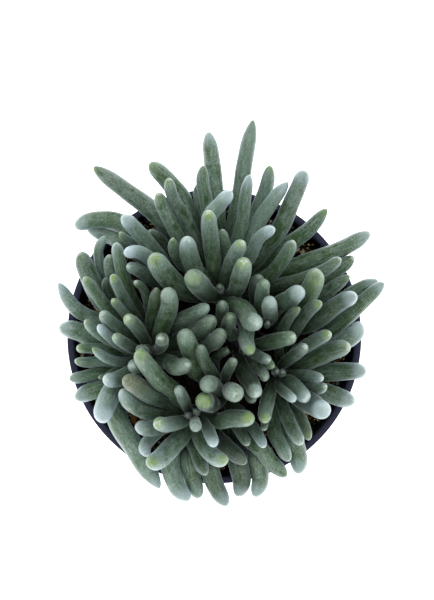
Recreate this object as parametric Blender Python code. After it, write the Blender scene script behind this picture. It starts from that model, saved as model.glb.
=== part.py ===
# Potted senecio: a grey-green finger-leaved succulent of eight leafy heads
# in a round black nursery pot. Everything is measured in millimetres and
# turned to metres in one place. The pot stands on z = 0, its axis is z.
import math

import bmesh
import bpy
import numpy as np
from mathutils import Matrix, Vector

MM = 0.001
SHARP_ANGLE = math.radians(50.0)

# Pot, all in mm
POT_HEIGHT = 92.0
RIM_RADIUS = 60.0
BASE_RADIUS = 43.0
WALL = 1.3
FLOOR = 2.4
COLLAR_HEIGHT = 12.0
COLLAR_STEP = 3.2
LIP_WIDTH = 2.9
POT_SIDES = 48
BORE_SIDES = 16
DRAIN_COUNT = 8
DRAIN_RADIUS = 4.0
DRAIN_RING = 32.0

# Soil, all in mm
SOIL_DEPTH_BELOW_RIM = 13.5
SOIL_RELIEF = 1.1
SOIL_SIDES = 32
FIT_GAP = 0.3
SOIL_WALL_GAP = 0.5
SCRAP_POINTS = 7
SCRAP_SIDES = 5
HOLE_DEPTH = 30.0

# Leaves and stems, all in mm
STEM_RADIUS = 4.4
STEM_SIDES = 12
CROWN_RADIUS = 3.0
ROOT_DROP = 12.0
HEAD_GAP = 1.1
LEAF_GAP = 0.15
FEW_RINGS = (0.0, 0.2, 0.42, 0.64, 0.84, 0.955)
MORE_RINGS = (0.0, 0.15, 0.32, 0.48, 0.64, 0.78, 0.9, 0.97)
MOST_MISS = 0.8
SAMPLES = 24
RELAX_ROUNDS = 140
PAIR_ROUNDS = 10
MOST_PUSH = 1.5
PUSH_SHARE = 0.7
SPREAD_PASSES = 8
SIDE_SHARE = np.array([0.35, 0.35, 1.0])
ROOT_PART = 0.3
VIEW_DISTANCE = 1200.0
VIEW_CENTRE = (1.1, 14.9)

SOIL_TOP = POT_HEIGHT - SOIL_DEPTH_BELOW_RIM

# Heads: place of the stem and height of its crown over the pot rim.
HEADS = {
    "north": (2.5, 17.0, 5.0),
    "northwest": (-15.5, 19.5, 1.0),
    "west": (-26.0, -6.0, 4.0),
    "southwest": (-8.5, -32.5, 6.0),
    "middle": (4.0, -24.0, 5.0),
    "centre": (9.0, -3.0, 3.0),
    "northeast": (21.5, 4.5, 3.0),
    "east": (26.0, -15.5, 3.0),
}

# Leaves of each head, read as seen from above: tip x and y, height of the
# tip over the rim, middle x and y, inner x and y, thickness, tip length
# in thicknesses.
LEAVES = {
    "north": [
        (15.9, 88.4, 18, 12.3, 70.5, 10.3, 57.0, 6.9, 1.6),
        (-2.5, 83.5, 15, -1.0, 72.0, 0.6, 56.0, 7.2, 1.1),
        (-4.6, 69.8, 23, -4.7, 62.0, -2.5, 50.0, 5.7, 1.2),
        (-5.9, 63.0, 13, -7.3, 56.5, -5.1, 45.0, 4.4, 1.2),
        (-26.4, 70.9, 19, -17.6, 62.0, -9.9, 51.6, 7.8, 0.8),
        (-18.9, 64.6, 27, -17.2, 56.0, -10.5, 45.0, 5.3, 0.9),
        (-22.4, 59.0, 24, -19.6, 51.5, -12.6, 38.3, 6.2, 0.9),
        (-49.3, 69.2, 12, -35.9, 59.3, -21.6, 47.6, 7.6, 1.4),
        (-2.5, 51.7, 40, -1.6, 41.0, -0.2, 29.0, 6.6, 0.8),
        (7.2, 59.3, 32, 2.3, 53.9, -2.4, 45.0, 6.3, 0.7),
        (14.4, 66.0, 26, 12.6, 56.6, 10.5, 42.0, 5.3, 1.3),
        (22.7, 69.8, 14, 21.2, 60.9, 16.8, 49.5, 6.5, 1.1),
        (30.2, 63.0, 22, 24.0, 55.5, 15.6, 42.9, 6.3, 1.5),
        (37.0, 67.9, 26, 31.5, 54.8, 23.9, 40.1, 7.3, 0.6),
        (46.0, 52.1, 13, 38.3, 43.5, 27.6, 35.6, 6.5, 1.4),
        (63.6, 42.4, 14, 50.9, 35.3, 33.1, 28.6, 7.3, 1.1),
        (24.6, 44.5, 34, 18.1, 39.9, 13.8, 31.4, 5.4, 0.9),
        (32.4, 39.3, 30, 28.2, 31.8, 20.2, 23.4, 5.9, 0.9),
        (51.6, 32.0, 22, 43.6, 26.6, 30.2, 22.0, 5.4, 0.9),
        (56.9, 32.6, 12, 50.4, 27.3, 41.1, 22.3, 6.2, 0.9),
        (11.8, 39.2, 40, 8.6, 33.7, 5.1, 25.7, 6.1, 0.9),
        (12.4, 31.9, 46, 11.0, 25.4, 8.2, 17.5, 7.5, 0.9),
        (-11.2, 41.0, 38, -10.2, 33.5, -6.8, 25.5, 7.4, 0.9),
        (-25.6, 33.7, 40, -20.5, 26.1, -11.8, 18.6, 9.1, 0.8),
        (-10.3, 26.0, 47, -6.6, 21.7, -2.5, 17.5, 8.7, 0.7),
        (-16.8, 40.5, 28, -16.5, 35.3, -12.3, 29.0, 4.9, 1.3),
        (3.1, 44.0, 22, 4.0, 38.9, 5.4, 31.5, 4.9, 1.1),
        (1.8, 21.2, 26, 2.5, 19.5, 2.6, 18.2, 3.1, 0.9),
        (19.2, 5.2, 46, 13.8, 6.6, 9.3, 11.7, 7.6, 0.7),
        (15.1, -7.4, 39, 12.9, -1.9, 10.2, 5.2, 6.3, 0.9),
    ],
    "northwest": [
        (-57.1, 44.7, 14, -47.5, 47.5, -36.1, 43.1, 7.3, 0.8),
        (-51.8, 44.1, 7, -45.6, 41.1, -34.8, 38.0, 5.7, 1.0),
        (-37.6, 49.4, 29, -32.0, 43.7, -22.8, 32.7, 6.5, 0.9),
        (-38.8, 42.6, 19, -35.9, 39.8, -29.0, 36.0, 3.5, 1.2),
        (-37.0, 33.8, 36, -31.1, 34.5, -24.6, 30.2, 5.6, 1.0),
        (-36.0, 29.2, 27, -29.3, 26.0, -22.3, 21.0, 5.4, 0.9),
        (-26.8, 43.2, 12, -20.9, 37.4, -17.0, 30.0, 5.1, 1.0),
    ],
    "west": [
        (-63.5, 22.0, 16, -56.8, 11.7, -46.1, 5.2, 5.9, 1.5),
        (-63.6, 3.6, 12, -56.0, 2.5, -43.0, -1.0, 8.2, 0.8),
        (-53.1, 24.4, 27, -47.9, 17.2, -40.2, 8.3, 5.4, 1.0),
        (-54.4, 34.7, 18, -52.0, 27.9, -43.4, 13.8, 8.3, 0.8),
        (-46.1, 10.3, 33, -42.7, 5.6, -35.3, 0.7, 5.5, 0.9),
        (-42.9, 25.6, 34, -39.7, 18.7, -33.5, 8.0, 6.9, 1.1),
        (-41.8, 15.4, 30, -37.9, 11.3, -31.9, 4.6, 4.0, 0.9),
        (-36.5, 8.2, 42, -32.3, 4.8, -28.1, -1.6, 5.5, 0.8),
        (-52.8, 6.9, 24, -48.5, 2.1, -39.4, -3.3, 4.2, 1.0),
        (-47.3, 5.1, 30, -42.7, 0.6, -35.5, -5.2, 4.4, 1.0),
        (-41.3, 0.6, 37, -37.3, -2.2, -31.0, -5.8, 4.9, 0.9),
        (-49.8, -4.5, 26, -43.5, -8.9, -34.0, -10.8, 4.0, 1.6),
        (-56.3, -4.8, 15, -48.0, -4.8, -36.0, -6.0, 4.5, 0.6),
        (-57.0, -9.8, 11, -50.0, -10.8, -38.0, -11.0, 4.7, 0.9),
        (-59.2, -17.2, 11, -51.0, -15.9, -37.5, -12.0, 5.3, 0.8),
        (-56.9, -25.4, 9, -49.9, -21.8, -37.0, -15.5, 7.6, 0.8),
        (-47.3, -16.8, 15, -43.3, -15.9, -36.0, -12.8, 2.2, 0.9),
        (-45.4, -17.1, 30, -40.6, -17.6, -33.5, -14.1, 6.6, 0.8),
        (-34.5, -11.1, 34, -31.8, -12.0, -29.0, -9.5, 6.1, 0.8),
        (-30.7, -4.8, 38, -29.5, -5.7, -27.6, -6.7, 5.0, 0.8),
        (-23.3, 20.2, 33, -24.6, 12.0, -25.7, 2.5, 5.1, 1.5),
        (-19.1, 20.0, 44, -18.3, 12.5, -21.4, 2.5, 7.2, 0.7),
        (-22.3, 0.7, 46, -21.2, -1.6, -22.1, -4.6, 5.3, 0.7),
        (-1.9, 12.5, 38, -8.4, 8.6, -17.8, 1.8, 5.9, 1.1),
        (0.1, 8.2, 37, -5.2, 3.5, -14.2, -2.0, 7.3, 0.8),
        (3.9, 2.8, 39, -0.6, -2.3, -9.9, -6.9, 7.0, 0.8),
        (-9.1, -11.3, 38, -15.0, -11.4, -21.6, -9.3, 7.0, 0.8),
        (-22.1, -61.8, 6, -31.5, -46.8, -39.8, -27.6, 8.7, 1.5),
        (-45.1, -35.3, 26, -44.7, -29.0, -38.5, -17.5, 8.8, 0.7),
        (-44.6, 41.1, 18, -47.4, 33.5, -43.0, 19.0, 4.4, 1.2),
        (-40.1, 38.4, 28, -38.5, 31.1, -34.8, 17.0, 5.8, 0.9),
        (-42.4, 33.5, 21, -42.8, 28.0, -39.0, 15.0, 4.8, 0.9),
        (-32.7, 22.7, 29, -28.7, 19.0, -26.3, 9.0, 3.7, 0.8),
        (-44.1, 24.3, 19, -43.4, 18.7, -36.0, 9.0, 4.1, 1.0),
    ],
    "southwest": [
        (-31.7, -5.8, 50, -25.4, -14.0, -15.5, -25.0, 7.4, 0.9),
        (-37.1, -16.6, 39, -30.3, -20.8, -19.0, -25.9, 8.0, 0.8),
        (-37.8, -21.2, 31, -33.1, -27.9, -21.5, -31.2, 6.7, 1.0),
        (-15.0, -20.2, 43, -12.7, -25.1, -10.4, -30.3, 4.9, 1.0),
        (-7.8, -38.0, 46, -7.6, -36.2, -8.0, -33.8, 4.8, 0.6),
        (-6.9, -29.0, 27, -7.0, -30.9, -8.0, -31.8, 2.8, 1.0),
        (-11.4, -31.5, 24, -10.9, -32.0, -9.6, -32.6, 2.8, 1.0),
        (0.3, -44.9, 40, -1.7, -39.8, -4.2, -34.7, 5.2, 1.0),
        (5.7, -50.5, 34, 0.1, -49.1, -6.1, -41.5, 6.8, 0.9),
        (-24.6, -35.0, 41, -19.4, -35.9, -13.0, -34.6, 6.2, 0.7),
        (-27.8, -51.7, 35, -21.8, -49.6, -14.1, -40.5, 8.1, 0.9),
        (-27.4, -49.0, 23, -27.8, -43.8, -20.0, -36.5, 5.5, 0.8),
        (-32.2, -36.1, 30, -26.5, -37.5, -17.0, -35.9, 6.5, 0.8),
        (-10.0, -66.7, 12, -15.4, -60.0, -16.2, -46.0, 7.8, 0.9),
        (-6.1, -66.0, 8, -8.7, -57.9, -11.2, -45.0, 7.4, 0.7),
        (-3.2, -56.5, 16, -6.0, -50.8, -9.2, -42.1, 6.0, 1.0),
        (5.3, -69.0, 8, 0.5, -61.0, -5.0, -47.0, 7.6, 0.9),
        (16.3, -33.4, 40, 8.5, -33.3, -1.0, -33.0, 7.2, 0.7),
        (13.1, -52.2, 11, 8.2, -48.4, 1.0, -41.0, 7.0, 0.9),
    ],
    "middle": [
        (8.4, -25.8, 50, 8.3, -22.4, 6.4, -21.7, 7.6, 0.6),
        (-5.8, -23.4, 44, -3.1, -26.2, 0.8, -26.2, 7.6, 0.6),
        (13.9, -44.5, 20, 11.9, -40.8, 8.5, -34.5, 4.6, 0.9),
        (20.6, -45.4, 24, 17.2, -39.2, 11.3, -31.7, 4.9, 1.1),
        (29.6, -57.1, 14, 22.3, -49.6, 11.4, -39.1, 6.7, 1.0),
        (9.6, -65.4, 5, 11.5, -57.0, 9.5, -43.5, 8.3, 0.8),
        (16.4, -65.5, 7, 18.5, -56.5, 13.7, -42.0, 7.6, 0.9),
        (-5.2, -21.3, 46, -1.8, -20.1, 2.6, -22.0, 7.0, 0.7),
        (8.5, -8.8, 40, 5.8, -13.3, 3.6, -18.5, 4.4, 1.0),
        (-6.0, -3.0, 38, -4.9, -9.8, -0.7, -18.9, 5.3, 1.0),
        (-12.7, 2.6, 43, -10.8, -2.3, -4.7, -13.6, 8.0, 0.8),
        (6.0, -5.4, 26, 1.3, -7.1, -0.3, -13.5, 4.1, 0.9),
    ],
    "centre": [
        (6.1, 9.5, 36, 8.0, 4.9, 8.5, 0.1, 5.9, 0.9),
        (3.2, 14.8, 30, 3.6, 9.0, 5.8, 2.0, 5.4, 0.9),
        (17.8, -24.7, 43, 14.3, -18.9, 10.8, -9.8, 6.7, 0.8),
        (16.1, -26.7, 33, 13.6, -21.8, 11.0, -11.0, 5.1, 0.9),
        (20.9, -18.1, 36, 19.7, -14.5, 14.6, -8.1, 4.4, 0.9),
        (23.2, -9.8, 37, 17.3, -8.0, 11.8, -5.9, 4.6, 1.3),
        (24.7, -12.4, 29, 18.5, -10.4, 12.5, -6.5, 4.4, 1.1),
        (33.4, 0.1, 40, 25.8, -1.5, 16.0, -3.7, 6.2, 0.7),
    ],
    "northeast": [
        (21.9, 6.2, 22, 21.8, 5.8, 21.5, 5.1, 2.3, 0.8),
        (35.9, 19.7, 38, 31.3, 15.3, 25.7, 12.4, 7.4, 0.7),
        (20.9, 23.2, 38, 19.5, 18.4, 19.6, 10.5, 5.8, 0.9),
        (18.2, 25.3, 27, 17.5, 18.5, 18.5, 10.5, 6.1, 0.9),
        (22.8, 16.1, 43, 22.3, 11.5, 22.2, 7.5, 6.3, 0.8),
        (58.2, 17.1, 24, 50.2, 13.1, 37.2, 4.3, 7.2, 0.7),
        (66.9, 22.5, 10, 59.2, 19.1, 44.0, 10.0, 6.1, 1.1),
        (55.2, 24.9, 16, 48.8, 20.8, 35.9, 12.7, 5.6, 1.3),
        (41.6, 27.7, 32, 40.0, 20.6, 33.3, 11.6, 8.5, 0.8),
    ],
    "east": [
        (24.7, -13.0, 25, 25.2, -14.0, 25.1, -15.1, 3.0, 0.8),
        (28.1, -14.4, 22, 27.4, -14.5, 26.9, -15.4, 2.8, 0.8),
        (59.4, 6.1, 14, 56.4, 0.4, 45.7, -5.6, 7.8, 0.8),
        (69.1, 22.2, 15, 61.0, 14.9, 46.1, 1.2, 6.3, 1.1),
        (43.9, 14.2, 32, 38.3, 10.4, 31.7, 0.7, 5.5, 1.1),
        (34.9, 12.6, 33, 31.3, 9.1, 27.6, 0.9, 4.4, 1.3),
        (47.8, 1.6, 31, 41.3, -1.5, 32.0, -7.6, 5.6, 1.0),
        (55.6, -3.6, 21, 47.0, -6.1, 35.5, -10.9, 7.6, 0.8),
        (37.8, -3.3, 35, 33.9, -6.7, 28.3, -10.7, 4.9, 1.0),
        (62.2, -14.0, 14, 53.0, -14.2, 40.0, -15.0, 7.5, 0.6),
        (44.6, -17.3, 28, 38.5, -15.8, 31.0, -15.4, 4.3, 0.9),
        (45.9, -19.8, 23, 41.5, -21.5, 33.5, -18.6, 4.6, 0.9),
        (38.2, -26.1, 34, 35.0, -22.8, 30.0, -18.9, 6.2, 0.9),
        (33.0, -26.2, 39, 29.2, -22.8, 26.6, -19.1, 4.3, 0.9),
        (46.5, -28.4, 34, 42.5, -29.3, 33.9, -22.1, 8.6, 0.5),
        (57.5, -26.7, 12, 50.9, -24.6, 38.0, -19.5, 7.9, 0.8),
        (20.5, -35.2, 36, 20.8, -29.8, 23.2, -21.0, 5.9, 1.0),
        (20.1, -38.5, 24, 20.9, -33.0, 22.8, -22.5, 3.4, 0.9),
        (30.4, -51.1, 15, 25.9, -43.8, 23.6, -30.2, 6.1, 0.9),
        (35.7, -44.2, 25, 31.7, -37.4, 27.1, -26.1, 5.7, 0.8),
        (38.6, -42.3, 14, 36.4, -35.3, 30.4, -24.3, 4.6, 0.9),
        (34.2, -56.1, 9, 34.1, -48.8, 29.6, -33.0, 8.2, 0.8),
    ],
}

# Dry scraps lying on the soil: points of the run, then half width.
SCRAPS = {
    "dry_stalk": ([(8.0, -36.6), (6.3, -38.8), (6.2, -41.6), (7.0, -44.2), (9.2, -46.2)], 0.7),
    "dry_leaf_scrap_south": ([(-0.6, -52.4), (1.8, -53.4), (4.4, -54.6)], 1.3),
    "dry_leaf_scrap_southwest": ([(-33.6, -31.6), (-33.2, -34.0), (-32.4, -36.4)], 1.2),
    "dry_leaf_scrap_east": ([(48.9, -17.6), (50.2, -19.0), (51.6, -19.6)], 1.0),
}

# Grit stones half sunk in the soil: x, y, radius.
STONES = [
    (37.4, -33.2, 2.4),
    (40.0, -29.8, 1.7),
    (34.2, 34.6, 2.2),
    (38.6, 33.2, 1.6),
    (21.6, 44.0, 1.8),
    (-27.4, 42.4, 1.6),
    (3.6, -50.2, 1.6),
    (-48.6, -6.6, 1.4),
    (-47.6, 13.0, 1.7),
    (29.4, 37.2, 1.3),
]


def clear_scene():
    for obj in list(bpy.data.objects):
        bpy.data.objects.remove(obj, do_unlink=True)


def paint(obj, name, colour, roughness):
    mat = bpy.data.materials.new(name)
    mat.use_nodes = True
    shader = mat.node_tree.nodes["Principled BSDF"]
    shader.inputs["Base Color"].default_value = (*colour, 1.0)
    shader.inputs["Roughness"].default_value = roughness
    obj.data.materials.clear()
    obj.data.materials.append(mat)


def new_object(name, bm):
    bmesh.ops.recalc_face_normals(bm, faces=bm.faces)
    mesh = bpy.data.meshes.new(name)
    bm.to_mesh(mesh)
    bm.free()
    mesh.shade_smooth()
    mesh.set_sharp_from_angle(angle=SHARP_ANGLE)
    obj = bpy.data.objects.new(name, mesh)
    bpy.context.scene.collection.objects.link(obj)
    return obj


def spun(profile, sides):
    # A closed profile of (radius, height) in mm turned about the z axis.
    bm = bmesh.new()
    rings = []
    for radius, height in profile:
        if radius < 1e-6:
            rings.append([bm.verts.new((0.0, 0.0, height * MM))])
            continue
        ring = []
        for k in range(sides):
            a = 2.0 * math.pi * k / sides
            ring.append(bm.verts.new((radius * MM * math.cos(a), radius * MM * math.sin(a), height * MM)))
        rings.append(ring)
    for low, high in zip(rings, rings[1:]):
        for k in range(sides):
            n = (k + 1) % sides
            if len(low) == 1:
                bm.faces.new((low[0], high[n], high[k]))
            elif len(high) == 1:
                bm.faces.new((low[k], low[n], high[0]))
            else:
                bm.faces.new((low[k], low[n], high[n], high[k]))
    return bm


def boolean(target, tools, operation, solver="EXACT"):
    # Joins or cuts with a collection of tools, applied, tools removed. The
    # exact solver leaves open edges in the soil's stones and in the heads,
    # so those use the manifold one.
    group = bpy.data.collections.new(target.name + "_tools")
    bpy.context.scene.collection.children.link(group)
    for tool in tools:
        bpy.context.scene.collection.objects.unlink(tool)
        group.objects.link(tool)
        tool.hide_render = True
        tool.display_type = "WIRE"
    mod = target.modifiers.new(operation.lower(), "BOOLEAN")
    mod.operation = operation
    mod.operand_type = "COLLECTION"
    mod.collection = group
    mod.solver = solver
    view = bpy.context.evaluated_depsgraph_get()
    mesh = bpy.data.meshes.new_from_object(target.evaluated_get(view))
    target.modifiers.remove(mod)
    old = target.data
    target.data = mesh
    bpy.data.meshes.remove(old)
    for tool in tools:
        bpy.data.objects.remove(tool, do_unlink=True)
    bpy.data.collections.remove(group)


def leaf_line(head, row):
    # The centre line of a leaf from its root in the stem to its tip.
    hx, hy, crown = HEADS[head]
    tx, ty, th, mx, my, ix, iy, thick, tip = row
    plan = np.array([(hx, hy), (ix, iy), (mx, my), (tx, ty)])
    reach = np.linalg.norm(plan[3] - plan[0])
    rise = math.atan2(th - crown, reach) / (math.pi / 2.0)
    root = crown - ROOT_DROP * (1.0 - max(rise, 0.0)) - 1.5
    step = np.linalg.norm(np.diff(plan, axis=0), axis=1)
    part = np.concatenate([[0.0], np.cumsum(step)]) / step.sum()
    height = root + (th - root) * part ** 1.15
    points = np.column_stack([plan, height])
    # The outline seen from above runs past a leaf that points upwards.
    ahead = points[3] - points[2]
    ahead /= np.linalg.norm(ahead)
    level = tip * thick * np.linalg.norm(ahead[:2])
    past = math.hypot(level, 0.5 * thick * ahead[2]) - level
    points[3, :2] -= past * ahead[:2] / (np.linalg.norm(ahead[:2]) + 0.05)
    centre = np.array(VIEW_CENTRE)
    points[:, :2] = centre + (points[:, :2] - centre) * (1.0 - points[:, 2:] / VIEW_DISTANCE)
    points[:, 2] += POT_HEIGHT
    points[0, :2] = (hx, hy)
    return even_points(smooth_run(points), SAMPLES)


def smooth_run(points, fine=12):
    # A Catmull-Rom run through the points, ends mirrored.
    ends = np.vstack([2 * points[0] - points[1], points, 2 * points[-1] - points[-2]])
    out = []
    for k in range(len(points) - 1):
        a, b, c, d = ends[k:k + 4]
        for t in np.linspace(0.0, 1.0, fine, endpoint=False):
            out.append(0.5 * (2 * b + (c - a) * t + (2 * a - 5 * b + 4 * c - d) * t * t
                              + (3 * b - a - 3 * c + d) * t ** 3))
    out.append(points[-1])
    return np.array(out)


def even_points(run, count):
    step = np.linalg.norm(np.diff(run, axis=0), axis=1)
    way = np.concatenate([[0.0], np.cumsum(step)])
    at = np.linspace(0.0, way[-1], count)
    return np.column_stack([np.interp(at, way, run[:, k]) for k in range(3)])


def leaf_radius(part, length, thick, tip):
    # Half thickness along the leaf: slimmer at the root, fullest past the
    # middle, narrowing again to a rounded tip.
    body = 0.62 + 0.38 * np.clip(part / 0.55, 0.0, 1.0) ** 0.8
    body -= 0.16 * np.clip((part - 0.6) / 0.4, 0.0, 1.0) ** 1.5
    cap = min(tip * thick, 0.6 * length) / length
    u = np.clip((part - (1.0 - cap)) / cap, 0.0, 1.0)
    power = 0.5 + 0.18 * max(tip - 0.9, 0.0)
    return 0.5 * thick * body * (1.0 - u * u) ** power


def apart(one, other):
    # Distances between the points of pairs of lines.
    square = (one ** 2).sum(axis=2)[:, :, None] + (other ** 2).sum(axis=2)[:, None, :]
    return np.sqrt(np.clip(square - 2.0 * one @ other.transpose(0, 2, 1), 0.0, None)) + 1e-6


def relax(lines, radii, owner):
    # Moves the leaves apart, mostly in height, until none meets a leaf of
    # another head. Roots stay where they are.
    part = np.linspace(0.0, 1.0, SAMPLES)
    free = np.clip((part - 0.06) / 0.22, 0.0, 1.0)[None, :, None]
    first, second = np.triu_indices(len(lines), 1)
    alike = owner[first] == owner[second]
    gap = np.where(alike, LEAF_GAP, HEAD_GAP)
    root_pair = (part < ROOT_PART)[:, None] | (part < ROOT_PART)[None, :]
    for count in range(RELAX_ROUNDS):
        if count % PAIR_ROUNDS == 0:
            low = lines.min(axis=1) - 6.0
            high = lines.max(axis=1) + 6.0
            near = np.all((low[first] < high[second]) & (low[second] < high[first]), axis=1)
            i = first[near]
            j = second[near]
            room = radii[i][:, :, None] + radii[j][:, None, :] + 4.0
            near[near] = (apart(lines[i], lines[j]) < room).any(axis=(1, 2))
            i = first[near]
            j = second[near]
            reach = radii[i][:, :, None] + radii[j][:, None, :] + gap[near][:, None, None]
            reach[alike[near][:, None, None] & root_pair[None]] = 0.0
        over = np.clip(reach - apart(lines[i], lines[j]), 0.0, MOST_PUSH)
        move = np.zeros_like(lines)
        for mine, theirs, axis in ((i, j, 2), (j, i, 1)):
            worst = over.argmax(axis=axis)
            depth = over.max(axis=axis)[:, :, None]
            away = lines[mine] - np.take_along_axis(lines[theirs], worst[:, :, None], axis=1)
            push = away * SIDE_SHARE
            push *= 0.5 * depth / (np.linalg.norm(push, axis=2, keepdims=True) + 1e-6)
            np.add.at(move, mine, push)
        for name, (x, y, crown) in HEADS.items():
            flat = lines[:, :, :2] - (x, y)
            lift = np.clip(lines[:, :, 2] - POT_HEIGHT - crown, 0.0, None)
            wide = np.sqrt((flat ** 2).sum(axis=2)) + 1e-6
            miss = STEM_RADIUS + radii + HEAD_GAP - np.sqrt(wide ** 2 + lift ** 2)
            miss[owner == name] = 0.0
            move[:, :, :2] += flat / wide[..., None] * np.clip(miss, 0.0, MOST_PUSH)[..., None]
        ring = np.sqrt((lines[:, :, :2] ** 2).sum(axis=2))
        floor = np.full_like(ring, SOIL_TOP + SOIL_RELIEF + 1.0)
        floor[ring > RIM_RADIUS - 9.0] = POT_HEIGHT + 0.6
        floor[ring > RIM_RADIUS + 8.0] = POT_HEIGHT - 12.0
        move[:, :, 2] += np.clip(floor + radii - lines[:, :, 2], 0.0, MOST_PUSH)
        move *= PUSH_SHARE * free
        for _ in range(SPREAD_PASSES):
            even = move.copy()
            even[:, 1:-1] = (move[:, :-2] + 2.0 * move[:, 1:-1] + move[:, 2:]) / 4.0
            even[:, -1] = move[:, -2]
            move = np.where(np.abs(even) > np.abs(move), even, 0.5 * (even + move)) * free
        lines = lines + move
    return lines


def along(line, parts, known=None):
    # Points at the wanted parts of a line whose own parts are known.
    known = np.linspace(0.0, 1.0, len(line)) if known is None else known
    return np.column_stack([np.interp(parts, known, line[:, k]) for k in range(3)])


def leaf_body(bm, line, thick, tip):
    # A closed leaf: rings along the centre line, a point at each end.
    sides = 7 if thick > 7.0 else 6 if thick > 3.5 else 5
    length = np.linalg.norm(np.diff(line, axis=0), axis=1).sum()
    parts = np.array(FEW_RINGS)
    place = along(line, parts)
    missed = along(np.vstack([place, line[-1:]]), np.linspace(0.0, 1.0, SAMPLES), [*FEW_RINGS, 1.0])
    if np.linalg.norm(missed - line, axis=1).max() > MOST_MISS:
        parts = np.array(MORE_RINGS)
        place = along(line, parts)
    radius = leaf_radius(parts, length, thick, tip)
    forward = np.gradient(place, axis=0)
    across = Vector((0.3, 0.1, 1.0)).cross(Vector(forward[0])).normalized()
    rings = []
    for point, ahead, r in zip(place, forward, radius):
        ahead = Vector(ahead).normalized()
        across = (across - ahead * across.dot(ahead)).normalized()
        up = ahead.cross(across)
        ring = []
        for k in range(sides):
            a = 2.0 * math.pi * k / sides
            spot = Vector(point) + (across * math.cos(a) + up * math.sin(a)) * float(r)
            ring.append(bm.verts.new(spot * MM))
        rings.append(ring)
    for low, high in zip(rings, rings[1:]):
        for k in range(sides):
            n = (k + 1) % sides
            bm.faces.new((low[k], low[n], high[n], high[k]))
    bm.faces.new(rings[0][::-1])
    end = bm.verts.new(Vector(line[-1]) * MM)
    for k in range(sides):
        bm.faces.new((rings[-1][k], rings[-1][(k + 1) % sides], end))


def stem_profile(crown):
    top = POT_HEIGHT + crown
    deep = SOIL_TOP - HOLE_DEPTH + 1.0
    return [
        (0.0, deep),
        (STEM_RADIUS - 1.0, deep),
        (STEM_RADIUS, deep + 1.5),
        (STEM_RADIUS, SOIL_TOP + 4.0),
        (CROWN_RADIUS, top - 1.0),
        (CROWN_RADIUS - 1.2, top + 0.6),
        (0.0, top + 1.2),
    ]


def outer_wall(height):
    # Radius of the pot's outer wall under the collar.
    under = POT_HEIGHT - COLLAR_HEIGHT
    return BASE_RADIUS + (RIM_RADIUS - COLLAR_STEP - BASE_RADIUS) * height / under


def make_pot():
    r = RIM_RADIUS
    h = POT_HEIGHT
    under = h - COLLAR_HEIGHT
    inside = FLOOR + 1.2
    profile = [
        (0.0, 0.0),
        (BASE_RADIUS - 1.0, 0.0),
        (BASE_RADIUS, 1.0),
        (outer_wall(under), under),
        (r - 1.6, under + 0.6),
        (r - 1.2, under + 1.6),
        (r - 0.5, h - 2.0),
        (r, h - 1.6),
        (r, h - 0.5),
        (r - 0.5, h),
        (r - LIP_WIDTH + 0.4, h),
        (r - LIP_WIDTH, h - 0.5),
        (r - LIP_WIDTH - 0.4, under + 1.4),
        (outer_wall(under - 1.2) - WALL, under - 1.2),
        (outer_wall(inside) - WALL, inside),
        (outer_wall(inside) - WALL - 1.2, FLOOR),
        (0.0, FLOOR),
    ]
    pot = new_object("pot", spun(profile, POT_SIDES))
    drains = []
    for k in range(DRAIN_COUNT):
        a = 2.0 * math.pi * (k + 0.5) / DRAIN_COUNT
        bm = spun([(0.0, -2.0), (DRAIN_RADIUS, -2.0), (DRAIN_RADIUS, FLOOR + 2.0), (0.0, FLOOR + 2.0)], BORE_SIDES)
        spot = Vector((math.cos(a), math.sin(a), 0.0)) * DRAIN_RING * MM
        bmesh.ops.translate(bm, verts=bm.verts, vec=spot)
        drains.append(new_object("drain_%d" % k, bm))
    boolean(pot, drains, "DIFFERENCE")
    paint(pot, "pot_plastic", (0.022, 0.025, 0.036), 0.45)


def ground(x, y):
    # Height of the soil surface at a place, in mm.
    return SOIL_TOP + SOIL_RELIEF * (
        0.5 * math.sin(0.19 * x + 1.3) * math.cos(0.23 * y - 0.4)
        + 0.3 * math.sin(0.31 * x - 0.27 * y)
        + 0.2 * math.cos(0.37 * y + 0.42 * x))


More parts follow.
